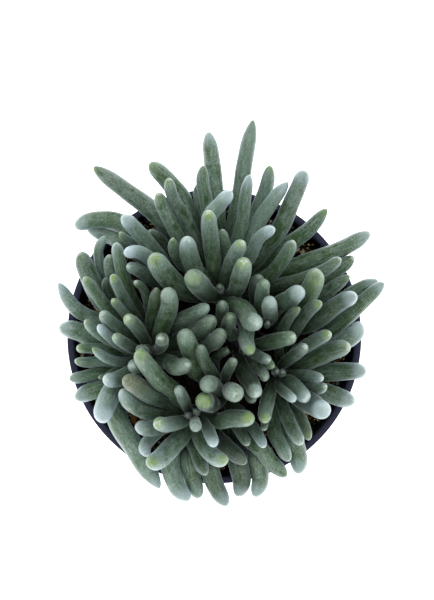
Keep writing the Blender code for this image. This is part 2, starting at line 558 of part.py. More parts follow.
def make_soil():
    low = FLOOR + FIT_GAP
    heel = low + 3.0
    inset = WALL + SOIL_WALL_GAP
    edge = outer_wall(SOIL_TOP - 2.0) - inset
    profile = [(0.0, low), (outer_wall(heel) - inset - 2.6, low), (outer_wall(heel) - inset, heel),
               (edge, SOIL_TOP - 2.0)]
    rings = [edge - 0.8, 46.0, 39.0, 32.0, 25.0, 18.0, 11.0, 5.0]
    profile += [(radius, SOIL_TOP) for radius in rings] + [(0.0, SOIL_TOP)]
    bm = spun(profile, SOIL_SIDES)
    for vert in bm.verts:
        if vert.co.z > (SOIL_TOP - 0.5) * MM:
            vert.co.z = ground(vert.co.x / MM, vert.co.y / MM) * MM
    soil = new_object("soil", bm)
    holes = []
    for name, (x, y, _) in HEADS.items():
        wide = STEM_RADIUS + FIT_GAP
        deep = SOIL_TOP - HOLE_DEPTH
        bm = spun([(0.0, deep), (wide, deep), (wide, SOIL_TOP + 6.0), (0.0, SOIL_TOP + 6.0)], BORE_SIDES)
        bmesh.ops.translate(bm, verts=bm.verts, vec=Vector((x, y, 0.0)) * MM)
        holes.append(new_object(name + "_hole", bm))
    boolean(soil, holes, "DIFFERENCE")
    stones = []
    for x, y, radius in STONES:
        bm = bmesh.new()
        bmesh.ops.create_icosphere(bm, subdivisions=1, radius=radius * MM)
        bmesh.ops.scale(bm, verts=bm.verts, vec=(1.15, 0.9, 0.75))
        bmesh.ops.rotate(bm, verts=bm.verts, cent=(0, 0, 0), matrix=tumble(x + y))
        bmesh.ops.translate(bm, verts=bm.verts, vec=Vector((x, y, ground(x, y) - 0.25 * radius)) * MM)
        stones.append(new_object("stone", bm))
    boolean(soil, stones, "UNION", "MANIFOLD")
    paint(soil, "peat", (0.020, 0.015, 0.010), 0.95)


def tumble(angle):
    return Matrix.Rotation(angle, 3, "Z") @ Matrix.Rotation(0.4 * angle, 3, "X")


def make_scrap(name, run, half):
    # A dry sliver lying just over the soil, bent along its run.
    bm = bmesh.new()
    rounds = SCRAP_POINTS - 1
    points = np.array([(x, y, ground(x, y)) for x, y in run])
    points = even_points(smooth_run(points), SCRAP_POINTS)
    points[:, 2] = points[:, 2].max() + 0.5 * half + 2.0 * FIT_GAP
    rings = []
    for k, (point, ahead) in enumerate(zip(points, np.gradient(points, axis=0))):
        ahead = Vector(ahead).normalized()
        side = ahead.cross(Vector((0.0, 0.0, 1.0))).normalized()
        r = half * (0.45 + 0.55 * math.sin(math.pi * (0.12 + 0.76 * k / rounds)))
        ring = []
        for c in range(SCRAP_SIDES):
            a = 2.0 * math.pi * c / SCRAP_SIDES
            spot = Vector(point) + side * r * math.cos(a) + Vector((0.0, 0.0, 0.5 * r * math.sin(a)))
            ring.append(bm.verts.new(spot * MM))
        rings.append(ring)
    for low, high in zip(rings, rings[1:]):
        for c in range(SCRAP_SIDES):
            n = (c + 1) % SCRAP_SIDES
            bm.faces.new((low[c], low[n], high[n], high[c]))
    bm.faces.new(rings[0][::-1])
    bm.faces.new(rings[-1])
    scrap = new_object(name, bm)
    paint(scrap, name + "_husk", (0.28, 0.19, 0.09), 0.85)


def make_heads():
    rows = [(head, row) for head in LEAVES for row in LEAVES[head]]
    owner = np.array([head for head, _ in rows])
    lines = np.array([leaf_line(head, row) for head, row in rows])
    parts = np.linspace(0.0, 1.0, SAMPLES)
    radii = []
    for line, (_, row) in zip(lines, rows):
        length = np.linalg.norm(np.diff(line, axis=0), axis=1).sum()
        radii.append(leaf_radius(parts, length, row[7], row[8]))
    lines = relax(lines, np.array(radii), owner)
    for head, (x, y, crown) in HEADS.items():
        bm = spun(stem_profile(crown), STEM_SIDES)
        bmesh.ops.translate(bm, verts=bm.verts, vec=Vector((x, y, 0.0)) * MM)
        stem = new_object(head + "_head", bm)
        leaves = []
        for line, (name, row) in zip(lines, rows):
            if name == head:
                bm = bmesh.new()
                leaf_body(bm, line, row[7], row[8])
                leaves.append(new_object("leaf", bm))
        boolean(stem, leaves, "UNION", "MANIFOLD")
        paint(stem, head + "_leaf_skin", (0.14, 0.20, 0.15), 0.65)


clear_scene()
make_pot()
make_soil()
for scrap_name, (scrap_run, scrap_half) in SCRAPS.items():
    make_scrap(scrap_name, scrap_run, scrap_half)
make_heads()
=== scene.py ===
# Potted senecio seen from straight above: a felted grey-green succulent of
# eight leafy heads, rooted in dark peat in a round black nursery pot.
import math

import bmesh
import bpy
import numpy as np
from mathutils import Matrix, Vector, noise


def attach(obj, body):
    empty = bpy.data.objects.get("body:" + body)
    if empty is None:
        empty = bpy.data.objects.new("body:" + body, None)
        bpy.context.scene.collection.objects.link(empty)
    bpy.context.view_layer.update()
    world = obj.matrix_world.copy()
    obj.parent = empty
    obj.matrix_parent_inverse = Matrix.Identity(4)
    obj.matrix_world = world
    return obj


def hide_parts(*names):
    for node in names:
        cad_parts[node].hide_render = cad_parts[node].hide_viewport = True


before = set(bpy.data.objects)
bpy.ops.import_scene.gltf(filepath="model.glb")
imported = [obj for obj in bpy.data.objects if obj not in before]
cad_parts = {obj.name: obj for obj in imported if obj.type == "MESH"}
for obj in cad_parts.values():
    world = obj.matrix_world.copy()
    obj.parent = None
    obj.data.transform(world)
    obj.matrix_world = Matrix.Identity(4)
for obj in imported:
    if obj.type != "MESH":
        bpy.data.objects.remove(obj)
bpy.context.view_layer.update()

# Studio. A light table of opal acrylic under a wide overhead softbox, with
# white surroundings, photographed straight down with a long lens 1.2 m above
# the rim of the pot. Sizes in this file are in millimetres, angles in radians.
MM = 0.001
RIM_HEIGHT = 92.0
VIEW_CENTRE = (1.1, 14.9)
VIEW_DISTANCE = 1200.0
VIEW_SPAN = 244.4
SENSOR = 24.0
SOFTBOX_WIDTH = 1500.0
SOFTBOX_PLACE = (150.0, 350.0, 1750.0)
SOFTBOX_TILT = (-0.2, 0.085, 0.0)
SOFTBOX_WATTS = 4.0
WALL_GLOW = 1.65
CEILING_GLOW = 0.9
TABLE_HALF = 2500.0
TABLE_GLOW = 1.5


def linear(code):
    # The linear colour of an sRGB hex code.
    shares = [int(code[k:k + 2], 16) / 255.0 for k in (1, 3, 5)]
    return *(c / 12.92 if c <= 0.04045 else ((c + 0.055) / 1.055) ** 2.4 for c in shares), 1.0


def node(tree, kind, inputs=(), **settings):
    # Adds a node, with its settings and its sockets' values or links.
    made = tree.nodes.new("ShaderNode" + kind)
    for name, value in settings.items():
        setattr(made, name, value)
    for name, value in dict(inputs).items():
        if isinstance(value, bpy.types.NodeSocket):
            tree.links.new(value, made.inputs[name])
        else:
            made.inputs[name].default_value = value
    return made


def finish_named(name, **values):
    # A material with one Principled shader, set by its sockets' names.
    material = bpy.data.materials.new(name)
    material.use_nodes = True
    shader = material.node_tree.nodes["Principled BSDF"]
    for socket, value in values.items():
        shader.inputs[socket.replace("_", " ")].default_value = value
    return material, material.node_tree, shader


camera = bpy.data.objects.new("camera", bpy.data.cameras.new("camera"))
camera.data.sensor_fit = "VERTICAL"
camera.data.sensor_height = SENSOR
camera.data.lens = SENSOR * VIEW_DISTANCE / VIEW_SPAN
camera.location = Vector((*VIEW_CENTRE, RIM_HEIGHT + VIEW_DISTANCE)) * MM
bpy.context.scene.collection.objects.link(camera)
bpy.context.scene.camera = camera

softbox = bpy.data.objects.new("softbox", bpy.data.lights.new("softbox", "AREA"))
softbox.data.shape = "DISK"
softbox.data.size = SOFTBOX_WIDTH * MM
softbox.data.energy = SOFTBOX_WATTS
softbox.location = [part * MM for part in SOFTBOX_PLACE]
softbox.rotation_euler = SOFTBOX_TILT
bpy.context.scene.collection.objects.link(softbox)

# White walls all round, brighter than the ceiling.
world = bpy.data.worlds.new("white_surroundings")
world.use_nodes = True
tree = world.node_tree
climb = node(tree, "SeparateXYZ", {0: node(tree, "TexCoord").outputs["Generated"]})
glow = node(tree, "MapRange", {"Value": climb.outputs[2], "To Min": WALL_GLOW, "To Max": CEILING_GLOW})
tree.nodes["Background"].inputs["Color"].default_value = linear("#fbfdff")
tree.links.new(glow.outputs["Result"], tree.nodes["Background"].inputs["Strength"])
bpy.context.scene.world = world
bpy.context.scene.view_settings.view_transform = "Standard"

# Cast opal acrylic lit from below: an even white with no visible lamp in it.
opal, _, _ = finish_named("opal_cast_acrylic", Base_Color=linear("#f6f6f6"), Roughness=0.6,
                          Emission_Color=linear("#ffffff"), Emission_Strength=TABLE_GLOW)
bm = bmesh.new()
bmesh.ops.create_grid(bm, x_segments=1, y_segments=1, size=TABLE_HALF * MM)
table_top = bpy.data.objects.new("table_top", bpy.data.meshes.new("table_top"))
bm.to_mesh(table_top.data)
bm.free()
table_top.data.materials.append(opal)
bpy.context.scene.collection.objects.link(table_top)

# Pot. A thin-walled 12 cm nursery pot of black polypropylene, moulded in one
# shot: tapered wall, stepped collar with a rolled lip, eight drain holes.
RIM_RADIUS = 60.0
BASE_RADIUS = 43.0
WALL = 1.3
FLOOR = 2.4
COLLAR_HEIGHT = 12.0
COLLAR_STEP = 3.2
LIP_WIDTH = 2.9
POT_STEPS = 160
DRAIN_COUNT = 8
DRAIN_RADIUS = 4.0
DRAIN_RING = 32.0
DRAIN_STEPS = 40
SHARP_ANGLE = math.radians(40.0)
# Depth under the rim over which the lip is painted paler: a painted highlight.
LIP_HIGHLIGHT_FROM = 2.2
LIP_HIGHLIGHT_TO = 0.2
FLOW_SWIRL = 22.0
SCUFF_SIZE = 3.5
# A tool is etched finer than this, and it is drawn coarser so that it shows.
TOOL_ETCH = 0.6


def meshed(bm):
    # The mesh of a bmesh that is done with.
    mesh = bpy.data.meshes.new("shape")
    bm.to_mesh(mesh)
    bm.free()
    return mesh


def place(name, mesh, material, node_name=None, slot=None):
    # Puts a finished mesh in the scene as a piece that rides on the pot.
    mesh.name = name
    mesh.shade_smooth()
    mesh.materials.append(material)
    piece = bpy.data.objects.new(name, mesh)
    bpy.context.scene.collection.objects.link(piece)
    if slot:
        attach(piece, "root")
    if node_name:
        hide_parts(node_name)
    return piece


def wall_radius(height):
    # Radius of the outer wall under the collar.
    under = RIM_HEIGHT - COLLAR_HEIGHT
    return BASE_RADIUS + (RIM_RADIUS - COLLAR_STEP - BASE_RADIUS) * height / under


def spun(profile, steps):
    # Turns a run of (radius, height) about the z axis, with welded seams.
    bm = bmesh.new()
    verts = [bm.verts.new((radius * MM, 0.0, height * MM)) for radius, height in profile]
    edges = [bm.edges.new(pair) for pair in zip(verts, verts[1:])]
    bmesh.ops.spin(bm, geom=verts + edges, cent=(0, 0, 0), axis=(0, 0, 1), angle=2 * math.pi,
                   steps=steps, use_merge=True)
    bmesh.ops.remove_doubles(bm, verts=bm.verts, dist=0.001 * MM)
    bmesh.ops.recalc_face_normals(bm, faces=bm.faces)
    return bm


def moulded_pot():
    r = RIM_RADIUS
    h = RIM_HEIGHT
    under = h - COLLAR_HEIGHT
    inside = FLOOR + 1.2
    profile = [(0.0, 0.0), (BASE_RADIUS - 1.0, 0.0), (BASE_RADIUS - 0.3, 0.25), (BASE_RADIUS, 1.0)]
    profile += [(wall_radius(z), z) for z in (12.0, 30.0, 48.0, 64.0, 76.0, under - 0.4)]
    profile += [(wall_radius(under) + 0.25, under), (r - 1.9, under + 0.35), (r - 1.3, under + 0.7),
                (r - 1.15, under + 1.6), (r - 0.9, under + 5.0), (r - 0.6, h - 2.6), (r - 0.1, h - 2.0),
                (r, h - 1.5), (r, h - 0.8), (r - 0.2, h - 0.25), (r - 0.7, h), (r - 1.5, h),
                (r - LIP_WIDTH + 0.5, h - 0.05), (r - LIP_WIDTH + 0.1, h - 0.35),
                (r - LIP_WIDTH, h - 0.9), (r - LIP_WIDTH - 0.2, h - 6.0), (r - LIP_WIDTH - 0.4, under + 1.4),
                (r - LIP_WIDTH - 0.7, under + 0.6), (wall_radius(under - 1.2) - WALL, under - 1.2)]
    profile += [(wall_radius(z) - WALL, z) for z in (60.0, 40.0, 20.0, inside)]
    profile += [(wall_radius(inside) - WALL - 0.4, FLOOR + 0.35), (wall_radius(inside) - WALL - 1.2, FLOOR),
                (0.0, FLOOR)]
    return spun(profile, POT_STEPS)


def drain_cutters():
    bm = bmesh.new()
    for k in range(DRAIN_COUNT):
        a = 2.0 * math.pi * (k + 0.5) / DRAIN_COUNT
        spot = Vector((DRAIN_RING * math.cos(a), DRAIN_RING * math.sin(a), FLOOR / 2.0)) * MM
        bmesh.ops.create_cone(bm, cap_ends=True, segments=DRAIN_STEPS, radius1=DRAIN_RADIUS * MM,
                              radius2=DRAIN_RADIUS * MM, depth=3.0 * FLOOR * MM,
                              matrix=Matrix.Translation(spot))
    return bm


# Black polypropylene, injection moulded on a lightly etched tool: dark with a
# bluish cast, low satin sheen and faint swirls of flow, and a painted highlight
# that makes the lip paler.
polypropylene, tree, shader = finish_named("black_moulded_polypropylene", IOR=1.49,
                                           Specular_IOR_Level=0.3, Specular_Tint=linear("#d0d3ea"))
where = node(tree, "TexCoord").outputs["Object"]
flow = node(tree, "TexNoise", {"Vector": where, "Scale": 1 / (FLOW_SWIRL * MM), "Detail": 3.0})
etch = node(tree, "TexNoise", {"Vector": where, "Scale": 1 / (TOOL_ETCH * MM), "Detail": 2.0})
scuff = node(tree, "TexNoise", {"Vector": where, "Scale": 1 / (SCUFF_SIZE * MM), "Detail": 5.0,
                                "Roughness": 0.7})
height = node(tree, "SeparateXYZ", {0: where}).outputs[2]
tone = node(tree, "Mix", {0: flow.outputs["Fac"], 6: linear("#0c0d13"), 7: linear("#151620")},
            data_type="RGBA")
# Painted highlight: the lip turns lighter and bluer towards the top of the rim.
rubbed_and_lip_highlight = node(tree, "MapRange", {"Value": height, "From Min": (RIM_HEIGHT - LIP_HIGHLIGHT_FROM) * MM,
                                 "From Max": (RIM_HEIGHT - LIP_HIGHLIGHT_TO) * MM, "To Max": 0.8})
painted_highlight_and_shade = node(tree, "Mix", {0: rubbed_and_lip_highlight.outputs["Result"], 6: tone.outputs[2], 7: linear("#282a3c")},
            data_type="RGBA")
gloss = node(tree, "MapRange", {"Value": scuff.outputs["Fac"], "To Min": 0.36, "To Max": 0.56})
relief = node(tree, "Bump", {"Height": etch.outputs["Fac"], "Strength": 0.35, "Distance": 0.08 * MM})
tree.links.new(painted_highlight_and_shade.outputs[2], shader.inputs["Base Color"])
tree.links.new(gloss.outputs["Result"], shader.inputs["Roughness"])
tree.links.new(relief.outputs["Normal"], shader.inputs["Normal"])

pot = place("nursery_pot", meshed(moulded_pot()), polypropylene, "pot", "pot")
cutters = place("drain_cutters", meshed(drain_cutters()), polypropylene)
cut = pot.modifiers.new("drains", "BOOLEAN")
cut.operation = "DIFFERENCE"
cut.object = cutters
cut.solver = "EXACT"
drilled = bpy.data.meshes.new_from_object(pot.evaluated_get(bpy.context.evaluated_depsgraph_get()))
pot.modifiers.remove(cut)
pot.data = drilled
pot.data.set_sharp_from_angle(angle=SHARP_ANGLE)
bpy.data.objects.remove(cutters)

# Soil. A plug of dark peat with grit: a crumbly top 13.5 mm under the rim, on
# which bark crumbs, golden grit and pale pebbles lie half sunk.
SOIL_TOP = RIM_HEIGHT - 13.5
SOIL_RELIEF = 1.1
SOIL_WALL_GAP = 0.5
FIT_GAP = 0.3
SOIL_STEPS = 160
SOIL_RINGS = 64
CLIMB = 2.4
CLIMB_FROM = 50.5
CLIMB_RUN = 4.0
CRUMB_COUNT = 3200
CROWDED_OUTWARDS = 0.38
GRAIN_SEED = 5
PEAT_LUMP = 3.0
PEAT_BIT = 1.3
# The specks on grit are finer than this, and are drawn coarser so that they show.
GRIT_SPECK = 0.5
GRAINS = (
    # share, least and most radius, colour; the dark ones lie everywhere, the
    # pale ones only in the ring along the wall
    (0.24, 0.35, 1.25, "#120f0c"),
    (0.14, 0.4, 1.2, "#2a1f13"),
    (0.34, 0.25, 0.85, "#c79d48"),
    (0.20, 0.3, 0.9, "#e6cf98"),
    (0.08, 0.4, 1.1, "#d0c9bb"),
)
DARK_SHARE = 0.38
GRIT_RING = 0.72
PEBBLES = (
    # x, y, radius, colour
    (37.4, -33.2, 2.4, "#a88a48"),
    (40.4, -30.4, 1.7, "#b8964c"),
    (35.2, -37.0, 1.4, "#b08f4a"),
    (32.6, 35.4, 2.3, "#efe3d2"),
    (36.4, 34.4, 1.8, "#e0d2b4"),
    (39.4, 32.8, 1.4, "#c9b27c"),
    (34.6, 38.0, 1.3, "#d8c8a4"),
    (29.6, 38.4, 1.4, "#cfc0a2"),
    (21.6, 44.0, 1.8, "#c2a768"),
    (24.0, 42.0, 1.2, "#b1944e"),
    (-27.4, 42.4, 1.6, "#a3843e"),
    (-24.6, 44.6, 1.2, "#b8964c"),
    (3.6, -50.2, 1.6, "#a57a34"),
    (6.4, -51.4, 1.2, "#b98d44"),
    (-48.6, -6.6, 1.4, "#7d5e2c"),
    (-47.6, 13.0, 1.7, "#8d6b34"),
)


def ground(x, y):
    # Height of the soil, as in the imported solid.
    return SOIL_TOP + SOIL_RELIEF * (
        0.5 * math.sin(0.19 * x + 1.3) * math.cos(0.23 * y - 0.4)
        + 0.3 * math.sin(0.31 * x - 0.27 * y)
        + 0.2 * math.cos(0.37 * y + 0.42 * x))


def crumbly(x, y):
    # Crumbs, and the way the soil climbs a little at the wall.
    spot = Vector((x, y, 0.0))
    climb = CLIMB * min(max((spot.length - CLIMB_FROM) / CLIMB_RUN, 0.0), 1.0)
    return climb + 0.55 * noise.noise(spot / 2.6) + 0.3 * noise.noise(spot / 1.1)


def soil_plug():
    low = FLOOR + FIT_GAP
    heel = low + 3.0
    inset = WALL + SOIL_WALL_GAP
    edge = wall_radius(SOIL_TOP - 2.0) - inset
    profile = [(0.0, low), (wall_radius(heel) - inset - 2.6, low), (wall_radius(heel) - inset, heel),
               (edge, SOIL_TOP - 2.0), (edge - 0.3, SOIL_TOP - 0.5)]
    profile += [((edge - 0.8) * (1.0 - k / SOIL_RINGS), SOIL_TOP) for k in range(SOIL_RINGS)]
    profile.append((0.0, SOIL_TOP))
    bm = spun(profile, SOIL_STEPS)
    for vert in bm.verts:
        if vert.co.z > (SOIL_TOP - 0.1) * MM:
            x = vert.co.x / MM
            y = vert.co.y / MM
            vert.co.z = (ground(x, y) + crumbly(x, y)) * MM
    return bm


def joined(meshes):
    # One mesh of many small ones.
    parts = [bpy.data.objects.new("part", mesh) for mesh in meshes]
    for part in parts:
        bpy.context.scene.collection.objects.link(part)
    with bpy.context.temp_override(active_object=parts[0], object=parts[0], selected_objects=parts,
                                   selected_editable_objects=parts):
        bpy.ops.object.join()
    mesh = parts[0].data
    bpy.data.objects.remove(parts[0])
    for spare in meshes[1:]:
        bpy.data.meshes.remove(spare)
    return mesh


def crumb(spot, radius, rng, colour, finer):
    # One lump: an icosphere squashed, turned and knocked out of round.
    bm = bmesh.new()
    layer = bm.verts.layers.float_vector.new("grain_colour")
    made = bmesh.ops.create_icosphere(bm, subdivisions=finer, radius=radius * MM)["verts"]
    seed = Vector(rng.uniform(-50.0, 50.0, 3))
    for vert in made:
        vert.co *= 1.0 + 0.38 * noise.noise(vert.co.normalized() * 1.4 + seed)
    bmesh.ops.scale(bm, verts=made, vec=rng.uniform((0.8, 0.6, 0.5), (1.35, 1.0, 0.85)))
    turn = Matrix.Rotation(rng.uniform(0, 6.3), 3, Vector(rng.normal(size=3)))
    bmesh.ops.rotate(bm, verts=made, matrix=turn)
    bmesh.ops.translate(bm, verts=made, vec=Vector(spot) * MM)
    for vert in made:
        vert[layer] = colour
    return meshed(bm)


def soil_grains():
    lumps = []
    rng = np.random.default_rng(GRAIN_SEED)
    edge = wall_radius(SOIL_TOP) - WALL + 0.6
    shares = np.cumsum([row[0] for row in GRAINS])
    for _ in range(CRUMB_COUNT):
        reach = edge * rng.uniform(0.02, 1.0) ** CROWDED_OUTWARDS
        turn = rng.uniform(0.0, 2.0 * math.pi)
        x = reach * math.cos(turn)
        y = reach * math.sin(turn)
        pick = rng.uniform(0.0, 0.999 if reach > GRIT_RING * edge else DARK_SHARE)
        _, least, most, code = GRAINS[int(np.searchsorted(shares, pick))]
        radius = least + (most - least) * rng.uniform() ** 2
        shade = rng.uniform(0.7, 1.25)
        colour = Vector(linear(code)[:3]) * shade
        lumps.append(crumb((x, y, ground(x, y) + crumbly(x, y) + 0.15 * radius), radius, rng, colour, 1))
    for x, y, radius, code in PEBBLES:
        colour = Vector(linear(code)[:3])
        lumps.append(crumb((x, y, ground(x, y) - 0.2 * radius), radius, rng, colour, 3))
    return joined(lumps)


# Milled peat: nearly black brown and fibrous, so it shows no gloss, browner
# with golden grit towards the wall and painted darker towards the middle, as
# shade under the plant.
peat, tree, shader = finish_named("milled_peat", Roughness=0.95, Specular_IOR_Level=0.15)
where = node(tree, "TexCoord").outputs["Object"]
lumps = node(tree, "TexNoise", {"Vector": where, "Scale": 1 / (PEAT_LUMP * MM), "Detail": 6.0,
                                "Roughness": 0.7})
bits = node(tree, "TexVoronoi", {"Vector": where, "Scale": 1 / (PEAT_BIT * MM)})
flat = node(tree, "VectorMath", {0: where, 1: (1.0, 1.0, 0.0)}, operation="MULTIPLY")
reach = node(tree, "VectorMath", {0: flat.outputs["Vector"]}, operation="LENGTH")
# Painted shade: the peat and its grit darken towards the middle, under the plant.
painted_shade_ramp = node(tree, "MapRange", {"Value": reach.outputs["Value"], "From Min": 34.0 * MM, "From Max": 46.0 * MM,
                              "To Min": 0.15})
lit = node(tree, "Math", {0: lumps.outputs["Fac"], 1: painted_shade_ramp.outputs["Result"]}, operation="MULTIPLY")
tone = node(tree, "Mix", {0: lit.outputs[0], 6: linear("#0f0c09"), 7: linear("#3a2c19")}, data_type="RGBA")
gold = node(tree, "MapRange", {"Value": bits.outputs["Color"], "From Min": 0.7, "From Max": 0.9})
golden = node(tree, "Math", {0: gold.outputs["Result"], 1: painted_shade_ramp.outputs["Result"]}, operation="MULTIPLY")
grit = node(tree, "Mix", {0: golden.outputs[0], 6: tone.outputs[2], 7: linear("#77592a")},
            data_type="RGBA")
relief = node(tree, "Bump", {"Height": lumps.outputs["Fac"], "Strength": 0.9, "Distance": 0.8 * MM})
tree.links.new(grit.outputs[2], shader.inputs["Base Color"])
tree.links.new(relief.outputs["Normal"], shader.inputs["Normal"])

# Bark, grit and pumice: each grain has its own colour, rough and broken.
grains, tree, shader = finish_named("bark_and_pumice_grit", Roughness=0.85, Specular_IOR_Level=0.3)
own = node(tree, "Attribute", attribute_name="grain_colour")
where = node(tree, "TexCoord").outputs["Object"]
specks = node(tree, "TexNoise", {"Vector": where, "Scale": 1 / (GRIT_SPECK * MM), "Detail": 4.0})
shade = node(tree, "MapRange", {"Value": specks.outputs["Fac"], "From Min": 0.3, "From Max": 0.7,
                                "To Min": 0.55, "To Max": 1.3})
tone = node(tree, "VectorMath", {0: own.outputs["Vector"], "Scale": shade.outputs["Result"]},
            operation="SCALE")
relief = node(tree, "Bump", {"Height": specks.outputs["Fac"], "Strength": 0.7, "Distance": 0.25 * MM})
tree.links.new(tone.outputs["Vector"], shader.inputs["Base Color"])
tree.links.new(relief.outputs["Normal"], shader.inputs["Normal"])

place("peat_plug", meshed(soil_plug()), peat, "soil", "soil")
place("soil_grains", soil_grains(), grains, None, "soil")

# Dry litter. A curled brown stalk and three shrivelled leaf scraps that lie
# on the peat: thin, papery plant matter, creased lengthwise by drying.
SCRAPS = {
    # points of the run, half width, rise of the curl, colour
    "dry_stalk": ([(8.0, -36.6), (6.3, -38.8), (6.2, -41.6), (7.0, -44.2), (9.2, -46.2)],
                  0.7, 2.5, "#7a6353"),
    "dry_leaf_scrap_south": ([(-0.6, -52.4), (1.8, -53.4), (4.4, -54.6)], 1.3, 0.6, "#a98a55"),
    "dry_leaf_scrap_southwest": ([(-33.6, -31.6), (-33.2, -34.0), (-32.4, -36.4)], 1.2, 0.6, "#9a7240"),
    "dry_leaf_scrap_east": ([(48.9, -17.6), (50.2, -19.0), (51.6, -19.6)], 1.0, 0.6, "#8e8a86"),
}
SCRAP_RINGS = 28
SCRAP_SIDES = 16
HUSK_BLOTCH = 0.9


def smooth_run(points, fine=12):
    # A Catmull-Rom run through the points, ends mirrored.
    ends = np.vstack([2 * points[0] - points[1], points, 2 * points[-1] - points[-2]])
    out = []
    for k in range(len(points) - 1):
        a, b, c, d = ends[k:k + 4]
        for t in np.linspace(0.0, 1.0, fine, endpoint=False):
            out.append(0.5 * (2 * b + (c - a) * t + (2 * a - 5 * b + 4 * c - d) * t * t
                              + (3 * b - a - 3 * c + d) * t ** 3))
    out.append(points[-1])
    return np.array(out)


def even_points(run, count):
    step = np.linalg.norm(np.diff(run, axis=0), axis=1)
    way = np.concatenate([[0.0], np.cumsum(step)])
    at = np.linspace(0.0, way[-1], count)
    return np.column_stack([np.interp(at, way, run[:, k]) for k in range(3)])


def rods(bm, rings, sides):
    # A ball with its poles on the x axis, ready to be drawn out along a run:
    # returns (vertex, share of the run, angle) for each of its points.
    made = bmesh.ops.create_uvsphere(bm, u_segments=sides, v_segments=rings, radius=1.0)["verts"]
    out = []
    for vert in made:
        share = 1.0 - math.acos(max(-1.0, min(1.0, vert.co.z))) / math.pi
        out.append((vert, share, math.atan2(vert.co.y, vert.co.x)))
    return out


def dry_scrap(run, half, lift):
    points = np.array([(x, y, ground(x, y) + 0.9) for x, y in run])
    line = even_points(smooth_run(points), SCRAP_RINGS + 1)
    ahead = np.gradient(line, axis=0)
    bm = bmesh.new()
    for vert, share, angle in rods(bm, SCRAP_RINGS, SCRAP_SIDES):
        k = min(int(round(share * SCRAP_RINGS)), SCRAP_RINGS)
        forward = Vector(ahead[k]).normalized()
        side = forward.cross(Vector((0.0, 0.0, 1.0))).normalized()
        open_here = 0.0 if share in (0.0, 1.0) else 1.0
        width = half * math.sin(math.pi * (0.06 + 0.88 * share)) ** 0.6 * open_here
        crease = 1.0 + 0.22 * math.cos(5.0 * angle + 2.0 * share)
        across = width * crease * math.cos(angle)
        curl = 0.55 * lift * (across / half) ** 2 + lift * 0.35 * math.sin(math.pi * share)
        spot = Vector(line[k]) + side * across
        spot.z += 0.3 * width * crease * math.sin(angle) + curl
        vert.co = spot * MM
    bmesh.ops.recalc_face_normals(bm, faces=bm.faces)
    return bm


for scrap_name, (scrap_run, scrap_half, scrap_lift, scrap_colour) in SCRAPS.items():
    # Dried plant skin: papery and matt, blotched, ribbed along its length.
    husk, tree, shader = finish_named("dried_husk_" + scrap_name, Roughness=0.8, Specular_IOR_Level=0.25)
    where = node(tree, "TexCoord").outputs["Object"]
    blotch = node(tree, "TexNoise", {"Vector": where, "Scale": 1 / (HUSK_BLOTCH * MM), "Detail": 4.0})
    dark = [0.35 * c for c in linear(scrap_colour)[:3]] + [1.0]
    tone = node(tree, "Mix", {0: blotch.outputs["Fac"], 6: dark, 7: linear(scrap_colour)}, data_type="RGBA")
    relief = node(tree, "Bump", {"Height": blotch.outputs["Fac"], "Strength": 0.6, "Distance": 0.2 * MM})
    tree.links.new(tone.outputs[2], shader.inputs["Base Color"])
    tree.links.new(relief.outputs["Normal"], shader.inputs["Normal"])
    place(scrap_name + "_husk", meshed(dry_scrap(scrap_run, scrap_half, scrap_lift)), husk,
          scrap_name, "dry_husk")

# Leafy heads. Each is a short stem crowded with finger-like succulent leaves,
# slim at the root and rounded at the tip. A leaf is one closed skin drawn out
# along its own line and sunk into the stem, and eased away from its neighbours.
STEM_RADIUS = 4.4
CROWN_RADIUS = 3.0
ROOT_DROP = 12.0
HOLE_DEPTH = 30.0
HEAD_GAP = 1.1
LEAF_GAP = 0.15
SAMPLES = 24
RELAX_ROUNDS = 140
PAIR_ROUNDS = 10
MOST_PUSH = 1.5
PUSH_SHARE = 0.7
SPREAD_PASSES = 8
SIDE_SHARE = np.array([0.35, 0.35, 1.0])
ROOT_PART = 0.3
LEAF_RINGS = 44
LEAF_SIDES = 24
STEM_STEPS = 24
LEAF_SEED = 11

# Marks of a leaf: L yellow-green tip, F frosted end, S pale spot on the tip that
# is partly a painted highlight, B tanned end, each small letter less of it; O
# yellow-green all along; P and p a paler coat of felt and d and D a darker leaf,
# partly the leaf's own tone and partly painted light and shade; X a leaf
# darkened as painted shade; E painted shade below the end.
COATS_AND_SHADE = {"P": 1.2, "p": 1.08, "d": 0.8, "D": 0.6, "X": 0.4}
LIMES = {"O": 0.5, "L": 0.85, "l": 0.5}
PALES = {"P": 0.24, "p": 0.12}
FROSTS_AND_PAINTED_LIGHT = {"F": 0.44, "f": 0.2}
SPOTS_AND_HIGHLIGHTS = {"S": 0.6, "s": 0.36}
TANS = {"B": 0.9, "b": 0.3}
PLAIN_LIME = 0.15
PLAIN_SPOT_AND_HIGHLIGHT = 0.15
# How far each reaches from the tip.
LIME_RUN = 4.2
LONG_LIME_RUN = 24.0
FROST_RUN = 7.0
TAN_RUN = 20.0
# E paints shade on the body below the end.
END_SHADE_FROM = 3.5
END_SHADE_RUN = 4.0
END_SHADE_SHARE = 0.68
# Flanks and undersides of the outer leaves are whiter, as painted light from the
# glowing table and white surroundings, and leaves deep in the clump are darker,
# as painted shade.
OUTER_FROM = 26.0
OUTER_RUN = 26.0
UNDER_PAINTED_LIGHT = 0.5
UNDER_TURN = 0.62
DEEP_BELOW = 22.0
DEEP_DROP = 16.0
DEEP_WITHIN = 48.0
DEEP_EDGE = 14.0
DEEP_PAINTED_SHADE = 0.4
# Streaks and hairs of the felt are finer on a real leaf, and are drawn coarser
# so that they show.
STREAK_WIDTH = 0.75
STREAK_LENGTH = 6.0
HAIR_GRAIN = 0.8
MOTTLE_SIZE = 2.6
RUBBED_PATCH = 6.5
TAN_RING = 1.5

